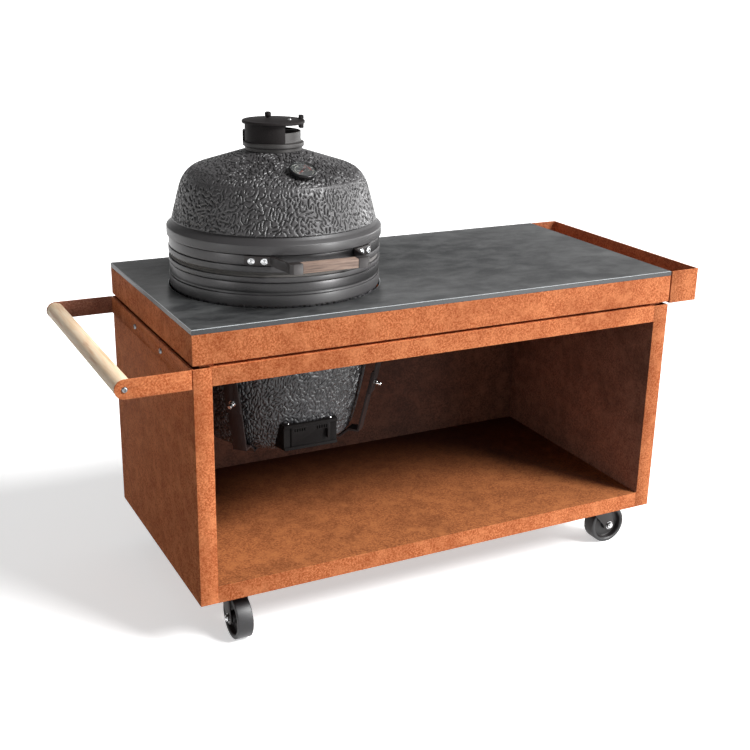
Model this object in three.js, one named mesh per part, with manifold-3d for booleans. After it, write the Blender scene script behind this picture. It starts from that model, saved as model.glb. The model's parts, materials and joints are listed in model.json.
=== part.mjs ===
// Kamado grill table: a weathering-steel cabinet on casters, a stone worktop with a hole,
// a ceramic kamado hanging in it, a wooden push bar on the left and a trough on the right.
// Millimetres, +Z up. X runs along the table to the right, Y from the front to the back.
// Parts are laid out from the front left corner of the cabinet, at floor level,
// and the whole is centred over its own footprint at the end.

import * as THREE from "three";
import { mergeVertices } from "three/addons/utils/BufferGeometryUtils.js";
import Module from "manifold-3d";

// Table
const LENGTH = 1350;
const DEPTH = 673;
const CABINET_HEIGHT = 600;
const WALL = 45;
const SHEET = 3;
const BACK_INSET = 12;
const BACK_SEAT = 1;
const TOP_GAP = 8;
const APRON_HEIGHT = 72;
const SLAB_THICKNESS = 12.5;
const SLAB_BEVEL = 1;
const PAD_SIZE = 34;
const PAD_INSET = 20;
const HANGER_PLATE = 5;
const FRAME_BAR_WIDTH = 40;
const FRAME_BAR_HEIGHT = 20;

// Trough on the right end
const TRAY_WIDTH = 89.5;
const TRAY_HEIGHT = 89;
const TRAY_STANDOFF = 4.5;
const TRAY_PAD_RADIUS = 14;

// Push bar on the left end
const BAR_REACH = 155;
const BAR_RADIUS = 22;
const BAR_STRAP_HEIGHT = 46;
const BAR_BOLT_RADIUS = 7;
const BAR_BOLT_HEAD = 4;
const BAR_BOLT_SHANK_RADIUS = 4;
const BAR_BOLT_SHANK = 40;
const BAR_PLATE_BOLT_SPACING = 216;

// Casters
const WHEEL_RADIUS = 56;
const WHEEL_WIDTH = 42;
const CASTER_STACK = 26;
const CASTER_INSET_X = 114;
const CASTER_INSET_Y = 94;
const CASTER_TRAIL = 38;
const CASTER_PLATE_LENGTH = 100;
const CASTER_PLATE_WIDTH = 84;
const CASTER_PLATE_THICKNESS = 4;
const RACEWAY_RADIUS = 32;
const RACEWAY_HEIGHT = 9;
const KINGPIN_RADIUS = 6;
const FORK_SHEET = 4;
const FORK_LEG_WIDTH = 34;
const AXLE_RADIUS = 6;
const AXLE_HEAD_RADIUS = 10;
const AXLE_HEAD = 5;
const HUB_RADIUS = 15;
const WHEEL_DISH = 8;
const TREAD_THICKNESS = 9;
const TREAD_ROUND = 5;

// Kamado: ceramic
const KAMADO_CLEARANCE = 4;
const CERAMIC_SHARE = 0.3878158;
const HOLE_GAP = 7;
const CERAMIC_WALL = 26;
const LIP_REACH = 5;
const LIP_ROUND = 2.5;
const FOOT_LIP_HEIGHT = 25.5;
const BAND_WIDTH = 23;
const BAND_SHEET = 3;
const BAND_CLEARANCE = 2;
const LOWER_GROOVE = 4;
const RIM_LIP_HEIGHT = 12;
const GASKET_HEIGHT = 6;
const GASKET_WIDTH = 12;
const DOME_LIP_HEIGHT = 15;
const SHOULDER_LIP_REACH = 8;
const SHOULDER_LIP_HEIGHT = 22;
const SHOULDER_LIP_SLOPE = 18;
const DOME_SIDE_BASE_SHARE = 0.978927;
const DOME_SIDE_TOP_SHARE = 0.908046;
const DOME_SIDE_HEIGHT = 70.5;
const DOME_SHOULDER_SHARE = 0.862069;
const DOME_SHOULDER_RISE_SHARE = 0.483598;
const DOME_CONE_BASE_SHARE = 0.727969;
const DOME_CONE_BASE_RISE_SHARE = 0.601058;
const DOME_NECK_RADIUS = 71;
const DOME_NECK_RISE = 94.5;
const BOWL_DEPTH = 401;
const BOWL_WAIST_SHARE = 0.950192;
const BOWL_WAIST_DROP_SHARE = 0.553616;
const BOWL_HEEL_SHARE = 0.777778;
const BOWL_HEEL_RISE = 28;
const BOWL_HEEL_CORNER_SHARE = 0.743295;
const BOWL_FLOOR_SHARE = 0.613027;

// Kamado: flue and rotating cap
const FLUE_RADIUS = 56;
const COLLAR_RADIUS = 70.5;
const COLLAR_HEIGHT = 9;
const COLLAR_RING_RADIUS = 75;
const COLLAR_RING_HEIGHT = 12;
const FLUE_WALL_TOP_RADIUS = 67;
const FLUE_WALL_HEIGHT = 24.7;
const FLUE_WALL = 4;
const SHIELD_HEIGHT = 15.8;
const SKIRT_WALL = 3;
const CAP_OVERHANG = 6.9;
const CAP_RIM = 8;
const CAP_CROWN = 4;
const CAP_GAP = 2;
const FLUE_OPENING_START_DEG = -88.6;
const FLUE_OPENING_DEG = 130;
const BRIDGE_WIDTH = 14;
const BRIDGE_HEIGHT = 6;
const SPINDLE_RADIUS = 5;
const SPINDLE_HEIGHT = 16;
const CAP_HUB_RADIUS = 11;
const CAP_KNOB_RADIUS = 8;
const CAP_KNOB_HEIGHT = 15;
const CAP_KNOB_OFFSET_X = -8;
const CAP_KNOB_OFFSET_Y = 15;
const TURN_LUG_WIDTH = 14;
const TURN_LUG_DEPTH = 9.4;
const TURN_LUG_AZIMUTH_DEG = -3;
const TURN_LUG_DROP = 15;
const TURN_LUG_RISE = 9;
const COLLAR_EAR_AZIMUTH_DEG = 153;
const COLLAR_EAR_WIDTH = 16;
const COLLAR_EAR_SHEET = 4.3;
const COLLAR_EAR_HEIGHT = 38;

// Kamado: thermometer
const DIAL_RADIUS = 33.5;
const DIAL_SURFACE_SHARE = 0.676245;
const DIAL_LEAN_DEG = 5.7214;
const DIAL_BACK_GAP = 3;
const DIAL_CASE_DEPTH = 11;
const DIAL_RIM = 3;
const DIAL_GLASS = 1.5;
const DIAL_RECESS = 5;
const DIAL_NECK_RADIUS = 9;
const PROBE_RADIUS = 3;
const PROBE_LENGTH = 60;
const NEEDLE_LENGTH = 23;
const NEEDLE_WIDTH = 2.4;
const NEEDLE_THICKNESS = 1;
const NEEDLE_POST_RADIUS = 1.6;

// Kamado: lid handle
const GRIP_SIDE = 22;
const GRIP_LENGTH = 140;
const GRIP_REACH = 65.7;
const HANDLE_BLOCK = 24;
const HANDLE_BLOCK_WIDTH = 30;
const HANDLE_BAR_THICKNESS = 6;
const HANDLE_PLATE_HEIGHT = 22;
const HANDLE_PLATE_START_DEG = 23;
const HANDLE_PLATE_END_DEG = 37.5;
const HANDLE_BOLT_INNER_DEG = 27.3;
const HANDLE_BOLT_OUTER_DEG = 33.7;
const BAND_BOLT_RADIUS = 5.5;
const BAND_BOLT_HEAD = 5;
const GRIP_TENON_RADIUS = 4;

// Kamado: rear hinge
const HINGE_REACH = 24;
const HINGE_PIN_RADIUS = 5;
const HINGE_BARREL_RADIUS = 11;
const HINGE_HALF_WIDTH = 62;
const HINGE_KNUCKLE = 22;
const HINGE_PIN_HEAD_RADIUS = 8;
const HINGE_PIN_HEAD = 4;
const HINGE_PLATE = 5;
const HINGE_RISE = 6;

// Kamado: inner parts
const FIREBOX_WALL = 22;
const FIREBOX_CLEARANCE = 6;
const FIREBOX_HEIGHT = 270;
const FIREBOX_FLOOR = 18;
const FIREBOX_FLOOR_HOLE_SHARE = 0.268199;
const FIREBOX_LEDGE_HEIGHT = 62;
const FIREBOX_TAPER = 34;
const FIREBOX_TOP_SHARE = 0.785441;
const CHARCOAL_GRATE_SHARE = 0.429119;
const CHARCOAL_GRATE_THICKNESS = 9;
const GRATE_CLEARANCE = 1.5;
const CHARCOAL_SLOT_WIDTH = 11;
const CHARCOAL_SLOT_COUNT = 8;
const FIRE_RING_HEIGHT = 130;
const FIRE_RING_WALL = 24;
const GRID_SHARE = 0.823755;
const GRID_RING_WIDTH = 7;
const GRID_THICKNESS = 7;
const GRID_BAR_WIDTH = 5;
const GRID_BAR_INSET = 1;
const GRID_BAR_COUNT = 13;

// Kamado: draft door
const DRAFT_PLATE_WIDTH = 144;
const DRAFT_PLATE_HEIGHT = 66;
const DRAFT_DROP_SHARE = 0.869077;
const DRAFT_STANDOFF = 9.636;
const DRAFT_DEPTH = 72;
const DRAFT_SHEET = 3;
const DRAFT_HOLE_WIDTH = 96;
const DRAFT_HOLE_HEIGHT = 44;
const DRAFT_FLARE = 14;
const DRAFT_RAIL = 5;
const DRAFT_SLOT_COUNT = 5;
const DRAFT_SLOT_WIDTH = 2.8;
const DRAFT_SLOT_HEIGHT = 8;
const DRAFT_SLOT_PITCH = 6.5;
const DRAFT_SLOT_GROUP_OFFSET = 30;
const DRAFT_SLOT_RISE = 13;
const DRAFT_TAB_WIDTH = 12;
const DRAFT_TAB_HEIGHT = 9;

// Cradle of bent flat bars that the kamado hangs in
const CRADLE_COUNT = 4;
const STRAP_WIDTH = 36;
const STRAP_SHEET = 5;
const STRAP_LEAN_SHARE = 0.225;
const STRAP_JOINT_SHARE = 1.028736;
const STRAP_JOINT_RISE_SHARE = 0.389673;
const STRAP_CORNER_RISE = 21.5;
const STRAP_CRANK_SHARE = 0.796935;
const STRAP_CRANK_RUN = 24;
const STRAP_FOOT_END_SHARE = 0.528736;
const STRAP_LAP = 30;
const STRAP_HOOK = 24;
const CRADLE_BOLT_RADIUS = 5;
const CRADLE_BOLT_NUT_RADIUS = 7;
const CRADLE_BOLT_NUT = 7;
const CRADLE_BOLT_END = 11;

// Clearances and resolution
const FIT_GAP = 0.3;
const RUN_GAP = 0.6;
const OVERRUN = 6;
const MERGE_DISTANCE = 1e-4;
const ROUND_STEPS = 36;
const FLUE_STEPS = 28;
const WHEEL_STEPS = 20;
const SMALL_STEPS = 12;
const BOLT_STEPS = 8;
const CURVE_STEPS = 4;
const ARC_STEPS = 6;

// Levels, from the floor up
const casterHeight = WHEEL_RADIUS + WHEEL_RADIUS + CASTER_STACK;
const cabinetTop = casterHeight + CABINET_HEIGHT;
const shelfTop = casterHeight + WALL;
const apronBottom = cabinetTop + TOP_GAP;
const apronTop = apronBottom + APRON_HEIGHT;
const slabTop = apronTop + SLAB_THICKNESS;
const footLipBottom = slabTop + KAMADO_CLEARANCE;
const footLipTop = footLipBottom + FOOT_LIP_HEIGHT;
const lowerBandBottom = footLipTop + LOWER_GROOVE;
const rimLipBottom = lowerBandBottom + BAND_WIDTH + BAND_CLEARANCE + BAND_CLEARANCE;
const bowlTop = rimLipBottom + RIM_LIP_HEIGHT;
const seam = bowlTop + GASKET_HEIGHT;
const domeBottom = seam + FIT_GAP + GASKET_HEIGHT;
const upperBandBottom = domeBottom + DOME_LIP_HEIGHT + BAND_CLEARANCE;
const shoulderLipBottom = upperBandBottom + BAND_WIDTH + BAND_CLEARANCE;
const domeSideBase = shoulderLipBottom + SHOULDER_LIP_HEIGHT + SHOULDER_LIP_SLOPE;
const domeSideTop = domeSideBase + DOME_SIDE_HEIGHT;
const domeShoulderRise = DOME_NECK_RISE * DOME_SHOULDER_RISE_SHARE;
const domeConeBaseRise = DOME_NECK_RISE * DOME_CONE_BASE_RISE_SHARE;
const domeNeck = domeSideTop + DOME_NECK_RISE;
const dialStandoff = DIAL_BACK_GAP + DIAL_CASE_DEPTH;
const bowlBottom = footLipBottom - BOWL_DEPTH;
const bowlWaistDrop = BOWL_DEPTH * BOWL_WAIST_DROP_SHARE;
const draftMiddle = footLipBottom - BOWL_DEPTH * DRAFT_DROP_SHARE;
const kamadoX = DEPTH / 2;
const kamadoY = DEPTH / 2;

// Radii of the kamado. It fills the table's depth but for a margin, and its pieces follow it.
const ceramicRadius = DEPTH * CERAMIC_SHARE;
const holeRadius = ceramicRadius + HOLE_GAP;
const domeSideBaseRadius = ceramicRadius * DOME_SIDE_BASE_SHARE;
const domeSideTopRadius = ceramicRadius * DOME_SIDE_TOP_SHARE;
const domeShoulderRadius = ceramicRadius * DOME_SHOULDER_SHARE;
const domeConeBaseRadius = ceramicRadius * DOME_CONE_BASE_SHARE;
const bowlWaistRadius = ceramicRadius * BOWL_WAIST_SHARE;
const bowlHeelRadius = ceramicRadius * BOWL_HEEL_SHARE;
const bowlHeelCornerRadius = ceramicRadius * BOWL_HEEL_CORNER_SHARE;
const bowlFloorRadius = ceramicRadius * BOWL_FLOOR_SHARE;
const dialSurfaceRadius = ceramicRadius * DIAL_SURFACE_SHARE;
const fireboxFloorHoleRadius = ceramicRadius * FIREBOX_FLOOR_HOLE_SHARE;
const fireboxTopRadius = ceramicRadius * FIREBOX_TOP_SHARE;
const charcoalGrateRadius = ceramicRadius * CHARCOAL_GRATE_SHARE;
const gridRadius = ceramicRadius * GRID_SHARE;
const strapJointRadius = ceramicRadius * STRAP_JOINT_SHARE;
const strapCrankRadius = ceramicRadius * STRAP_CRANK_SHARE;
const strapFootEndRadius = ceramicRadius * STRAP_FOOT_END_SHARE;
const lipRadius = ceramicRadius + LIP_REACH;
const innerRadius = ceramicRadius - CERAMIC_WALL;
const bandOuter = ceramicRadius + BAND_SHEET + FIT_GAP;
const gripAxisRadius = bandOuter + GRIP_REACH;

const wasm = await Module();
wasm.setup();

// Solids

function toSolid(geometry) {
  const bare = geometry.clone();
  bare.deleteAttribute("normal");
  bare.deleteAttribute("uv");
  const merged = mergeVertices(bare, MERGE_DISTANCE);
  const count = merged.attributes.position.count;
  const places = merged.attributes.position.array.slice(0, count * 3);
  const mesh = new wasm.Mesh({
    numProp: 3,
    vertProperties: new Float32Array(places),
    triVerts: new Uint32Array(merged.index.array),
  });
  return new wasm.Manifold(mesh);
}

function toGeometry(solid) {
  const mesh = solid.getMesh();
  const geometry = new THREE.BufferGeometry();
  geometry.setAttribute("position", new THREE.BufferAttribute(mesh.vertProperties, 3));
  geometry.setIndex(new THREE.BufferAttribute(mesh.triVerts, 1));
  return geometry;
}

function combine(base, added, removed) {
  let solid = toSolid(base);
  for (const piece of added) solid = solid.add(toSolid(piece));
  for (const piece of removed) solid = solid.subtract(toSolid(piece));
  return toGeometry(solid);
}

function keepInside(base, limit) {
  return toGeometry(toSolid(base).intersect(toSolid(limit)));
}

// A box given by its two corners on each axis.
function block(x, y, z) {
  const box = new THREE.BoxGeometry(x[1] - x[0], y[1] - y[0], z[1] - z[0]);
  box.translate((x[0] + x[1]) / 2, (y[0] + y[1]) / 2, (z[0] + z[1]) / 2);
  return box;
}

// A cylinder along one axis, from start to end, centred on the other two coordinates.
function rod(axis, radius, start, end, centre, steps = SMALL_STEPS) {
  const rodShape = new THREE.CylinderGeometry(radius, radius, end - start, steps);
  if (axis === "x") rodShape.rotateZ(-Math.PI / 2);
  if (axis === "z") rodShape.rotateX(Math.PI / 2);
  const middle = (start + end) / 2;
  if (axis === "x") rodShape.translate(middle, centre[0], centre[1]);
  if (axis === "y") rodShape.translate(centre[0], middle, centre[1]);
  if (axis === "z") rodShape.translate(centre[0], centre[1], middle);
  return rodShape;
}

// A revolved outline about Z, from points of radius and height.
function turned(points, steps = ROUND_STEPS) {
  const outline = points.map(([radius, height]) => new THREE.Vector2(radius, height));
  if (points[0][0] !== 0) outline.push(outline[0].clone());
  const geometry = new THREE.LatheGeometry(outline, steps);
  geometry.rotateX(Math.PI / 2);
  return geometry;
}

// A revolved ring of rectangular section.
function ring(inner, outer, bottom, top, steps = ROUND_STEPS) {
  return turned([[inner, bottom], [outer, bottom], [outer, top], [inner, top]], steps);
}

// A flat outline pushed along one axis. For "z" it lies in XY, for "x" in YZ, for "y" in XZ.
function pushed(shape, axis, start, end) {
  const settings = { depth: end - start, bevelEnabled: false, curveSegments: ARC_STEPS };
  const geometry = new THREE.ExtrudeGeometry(shape, settings);
  if (axis === "z") geometry.translate(0, 0, start);
  if (axis === "x") {
    geometry.rotateX(Math.PI / 2);
    geometry.rotateZ(Math.PI / 2);
    geometry.translate(start, 0, 0);
  }
  if (axis === "y") {
    geometry.rotateX(Math.PI / 2);
    geometry.translate(0, end, 0);
  }
  return geometry;
}

function outline(points) {
  return new THREE.Shape(points.map(([a, b]) => new THREE.Vector2(a, b)));
}

function rectangle(a, b) {
  return [[a[0], b[0]], [a[1], b[0]], [a[1], b[1]], [a[0], b[1]]];
}

// A hollow rectangular section with walls of one sheet.
function tubeSection(a, b) {
  const shape = outline(rectangle(a, b));
  const inner = rectangle([a[0] + SHEET, a[1] - SHEET], [b[0] + SHEET, b[1] - SHEET]);
  shape.holes.push(new THREE.Path(inner.map(([u, v]) => new THREE.Vector2(u, v))));
  return shape;
}

// A wedge about Z that opens from one angle and spans another, for cutting rings to sectors.
function sector(startDeg, spanDeg, reach, bottom, top) {
  const shape = new THREE.Shape();
  const start = THREE.MathUtils.degToRad(startDeg);
  const span = THREE.MathUtils.degToRad(spanDeg);
  shape.moveTo(0, 0);
  shape.absarc(0, 0, reach, start, start + span, false);
  shape.lineTo(0, 0);
  const settings = { depth: top - bottom, bevelEnabled: false, curveSegments: FLUE_STEPS };
  const geometry = new THREE.ExtrudeGeometry(shape, settings);
  geometry.translate(0, 0, bottom);
  return geometry;
}

// Points along a curve path, as radius and height pairs.
function pathPoints(path) {
  return path.getPoints(CURVE_STEPS).map((point) => [point.x, point.y]);
}

// Materials

function finish(color, roughness, metalness, extra = {}) {
  return new THREE.MeshStandardMaterial({ color, roughness, metalness, ...extra });
}

const rustFinish = finish("#c8724a", 0.85, 0.15);
const slabFinish = finish("#5e5f5f", 0.55, 0);
const ceramicFinish = finish("#4a4849", 0.45, 0);
const bandFinish = finish("#4c4b4b", 0.4, 0.5);
const castFinish = finish("#2a2626", 0.75, 0.3);
const blackSteelFinish = finish("#1c1a19", 0.55, 0.4);
const steelFinish = finish("#b9bbbd", 0.3, 1);
const barFinish = finish("#f0d9b5", 0.6, 0);
const gripFinish = finish("#a58a78", 0.75, 0);
const gasketFinish = finish("#8d8a86", 0.95, 0);
const fireclayFinish = finish("#9a8f83", 0.95, 0);
const wheelFinish = finish("#1b1b1c", 0.7, 0);
const dialFinish = finish("#26272a", 0.5, 0.2);
const glassFinish = finish("#dfe6e8", 0.05, 0, { transparent: true, opacity: 0.3 });
const needleFinish = finish("#b3261e", 0.5, 0);

const table = new THREE.Group();
const lid = new THREE.Group();
const kamado = new THREE.Group();
kamado.position.set(kamadoX, kamadoY, 0);
table.add(kamado);
kamado.add(lid);

function piece(name, geometry, material, parent = table) {
  const mesh = new THREE.Mesh(geometry, material);
  mesh.name = name;
  parent.add(mesh);
  return mesh;
}

// Cabinet: hollow walls of folded sheet, butted together

function makeCabinet() {
  const sides = [
    ["cabinet_left_wall", [0, WALL]],
    ["cabinet_right_wall", [LENGTH - WALL, LENGTH]],
  ];
  for (const [name, x] of sides) {
    const tube = pushed(tubeSection(x, [0, DEPTH]), "z", casterHeight, cabinetTop);
    const foot = block(x, [0, DEPTH], [casterHeight, casterHeight + SHEET]);
    piece(name, combine(tube, [foot], []), rustFinish);
  }
  const between = [WALL, LENGTH - WALL];
  const backY = [DEPTH - BACK_INSET - SHEET, DEPTH - BACK_INSET];
  const base = tubeSection([0, DEPTH], [casterHeight, shelfTop]);
  const seat = block([between[0] - OVERRUN, between[1] + OVERRUN],
    [backY[0], DEPTH + OVERRUN], [shelfTop - BACK_SEAT, shelfTop + OVERRUN]);
  piece("cabinet_base", combine(pushed(base, "x", between[0], between[1]), [], [seat]), rustFinish);
  const railHeight = [cabinetTop - WALL, cabinetTop];
  const frontRail = tubeSection([0, WALL], railHeight);
  piece("cabinet_front_rail", pushed(frontRail, "x", between[0], between[1]), rustFinish);
  const backRail = tubeSection([DEPTH - WALL, DEPTH], railHeight);
  piece("cabinet_back_rail", pushed(backRail, "x", between[0], between[1]), rustFinish);
  const back = block(between, backY, [shelfTop - BACK_SEAT, railHeight[0]]);
  piece("cabinet_back_panel", back, rustFinish);
}

// Top unit: a rim folded to a channel, a welded carrier under the slab, and the slab

function makeTopUnit() {
  const outer = block([0, LENGTH], [0, DEPTH], [apronBottom, apronTop]);
  const channel = block(
    [SHEET, LENGTH - SHEET],
    [SHEET, DEPTH - SHEET],
    [apronBottom + SHEET, apronTop - SHEET],
  );
  const well = block(
    [WALL, LENGTH - WALL],
    [WALL, DEPTH - WALL],
    [apronBottom - OVERRUN, apronTop + OVERRUN],
  );
  const pads = [];
  const padEnd = PAD_INSET + PAD_SIZE;
  for (const x of [[PAD_INSET, padEnd], [LENGTH - padEnd, LENGTH - PAD_INSET]]) {
    for (const y of [[WALL - PAD_SIZE, WALL], [DEPTH - WALL, DEPTH - WALL + PAD_SIZE]]) {
      pads.push(block(x, y, [cabinetTop, apronBottom + SHEET / 2]));
    }
  }
  let rim = toSolid(outer).subtract(toSolid(channel)).subtract(toSolid(well));
  for (const pad of pads) rim = rim.add(toSolid(pad));
  piece("apron", toGeometry(rim), rustFinish);

  const plateTop = apronTop - SHEET;
  const plateBottom = plateTop - HANGER_PLATE;
  const plateX = [SHEET + FIT_GAP, DEPTH - SHEET];
  const plateY = [SHEET + FIT_GAP, DEPTH - SHEET - FIT_GAP];
  const plate = block(plateX, plateY, [plateBottom, plateTop]);
  const carrierHole = rod("z", holeRadius, plateBottom - OVERRUN, plateTop + OVERRUN,
    [kamadoX, kamadoY], ROUND_STEPS);
  const bars = [];
  const barTop = apronTop;
  for (const side of [-1, 1]) {
    const middle = DEPTH / 2 + side * DEPTH / 4;
    const y = [middle - FRAME_BAR_WIDTH / 2, middle + FRAME_BAR_WIDTH / 2];
    const x = [plateX[1] - OVERRUN, LENGTH - WALL - FIT_GAP];
    bars.push(block(x, y, [barTop - FRAME_BAR_HEIGHT, barTop]));
    const tongue = [LENGTH - WALL - WALL, LENGTH - SHEET - FIT_GAP];
    bars.push(block(tongue, y, [barTop - FRAME_BAR_HEIGHT, plateTop]));
  }
  piece("slab_carrier", combine(plate, bars, [carrierHole]), blackSteelFinish);

  const slab = outline(rectangle(
    [SLAB_BEVEL, LENGTH - SLAB_BEVEL],
    [SLAB_BEVEL, DEPTH - SLAB_BEVEL],
  ));
  const hole = new THREE.Path();
  hole.absarc(kamadoX, kamadoY, holeRadius + SLAB_BEVEL, 0, Math.PI * 2, true);
  slab.holes.push(hole);
  const worktop = new THREE.ExtrudeGeometry(slab, {
    depth: SLAB_THICKNESS - SLAB_BEVEL - SLAB_BEVEL,
    bevelThickness: SLAB_BEVEL,
    bevelSize: SLAB_BEVEL,
    bevelSegments: 1,
    curveSegments: FLUE_STEPS,
  });
  worktop.translate(0, 0, apronTop + SLAB_BEVEL);
  piece("worktop_slab", worktop, slabFinish);
}

// Trough: folded sheet, open at the top, held off the rim by two round pads

function makeTray() {
  const left = LENGTH + TRAY_STANDOFF;
  const right = left + TRAY_WIDTH;
  const top = slabTop - SLAB_BEVEL;
  const bottom = top - TRAY_HEIGHT;
  const rim = apronTop - SHEET;
  const outer = block([left, right], [0, DEPTH], [bottom, top]);
  const inner = block(
    [left + SHEET, right - SHEET],
    [SHEET, DEPTH - SHEET],
    [bottom + SHEET, top + OVERRUN],
  );
  const sideCut = block(
    [left - OVERRUN, left + SHEET + OVERRUN],
    [SHEET, DEPTH - SHEET],
    [rim, top + OVERRUN],
  );
  const pads = [-1, 1].map((side) => {
    const place = [DEPTH / 2 + side * DEPTH / 4, (apronBottom + apronTop) / 2];
    return rod("x", TRAY_PAD_RADIUS, LENGTH, left + SHEET / 2, place);
  });
  let tray = toSolid(outer).subtract(toSolid(inner)).subtract(toSolid(sideCut));
  for (const pad of pads) tray = tray.add(toSolid(pad));
  piece("side_tray", toGeometry(tray), rustFinish);
}

// Push bar: one strap folded to a U, a round wooden bar, and its bolts

function makePushBar() {
  const middle = cabinetTop - BAR_STRAP_HEIGHT / 2;
  const half = BAR_STRAP_HEIGHT / 2;
  const arm = new THREE.Shape();
  arm.moveTo(0, middle - half);
  arm.lineTo(0, middle + half);
  arm.lineTo(-BAR_REACH, middle + half);
  arm.absarc(-BAR_REACH, middle, half, Math.PI / 2, Math.PI * 3 / 2, false);
  const armPlaces = [[0, SHEET], [DEPTH - SHEET, DEPTH]];
  const arms = armPlaces.map(([start, end]) => pushed(arm, "y", start, end));
  const web = block([-SHEET, 0], [0, DEPTH], [middle - half, middle + half]);
  const holes = [rod("y", BAR_BOLT_SHANK_RADIUS + FIT_GAP, -OVERRUN, DEPTH + OVERRUN,
    [-BAR_REACH, middle])];
  for (const side of [-1, 1]) {
    const y = DEPTH / 2 + side * BAR_PLATE_BOLT_SPACING / 2;
    holes.push(rod("x", BAR_BOLT_SHANK_RADIUS + FIT_GAP, -SHEET - OVERRUN, OVERRUN, [y, middle]));
  }
  piece("handle_strap", combine(web, arms, holes), rustFinish);

  const barEnds = [SHEET + FIT_GAP, DEPTH - SHEET - FIT_GAP];
  const bar = rod("y", BAR_RADIUS, barEnds[0], barEnds[1], [-BAR_REACH, middle], WHEEL_STEPS);
  const bores = [
    [barEnds[0] - OVERRUN, BAR_BOLT_SHANK + FIT_GAP],
    [DEPTH - BAR_BOLT_SHANK - FIT_GAP, barEnds[1] + OVERRUN],
  ].map(([start, end]) =>
    rod("y", BAR_BOLT_SHANK_RADIUS + FIT_GAP, start, end, [-BAR_REACH, middle]));
  piece("handle_bar", combine(bar, [], bores), barFinish);

  // A round-headed bolt along Y whose head stands outside the strap.
  const ends = [
    ["handle_end_bolt_front", 0, -1],
    ["handle_end_bolt_rear", DEPTH, 1],
  ];
  for (const [name, face, way] of ends) {
    const bolt = buttonBolt(BAR_BOLT_RADIUS, BAR_BOLT_HEAD, BAR_BOLT_SHANK_RADIUS, BAR_BOLT_SHANK);
    bolt.rotateX(way * -Math.PI / 2);
    bolt.translate(-BAR_REACH, face, middle);
    piece(name, bolt, steelFinish);
  }
  const plateBolts = [
    ["handle_plate_bolt_front", -1],
    ["handle_plate_bolt_rear", 1],
  ];
  for (const [name, side] of plateBolts) {
    const bolt = buttonBolt(BAR_BOLT_RADIUS, BAR_BOLT_HEAD, BAR_BOLT_SHANK_RADIUS,
      SHEET - FIT_GAP);
    bolt.rotateY(-Math.PI / 2);
    bolt.translate(-SHEET, DEPTH / 2 + side * BAR_PLATE_BOLT_SPACING / 2, middle);
    piece(name, bolt, steelFinish);
  }
}

// A bolt along Z, with its domed head standing on the plane z = 0 and its shank below.
function buttonBolt(headRadius, head, shankRadius, shank) {
  const shoulder = headRadius - head / 3;
  return turned([
    [0, -shank],
    [shankRadius, -shank],
    [shankRadius, 0],
    [headRadius, 0],
    [headRadius, head / 3],
    [shoulder, head * 5 / 6],
    [0, head],
  ], BOLT_STEPS);
}

// Casters: top plate with its raceway, forked leg, and a solid wheel with a dished face

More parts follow.
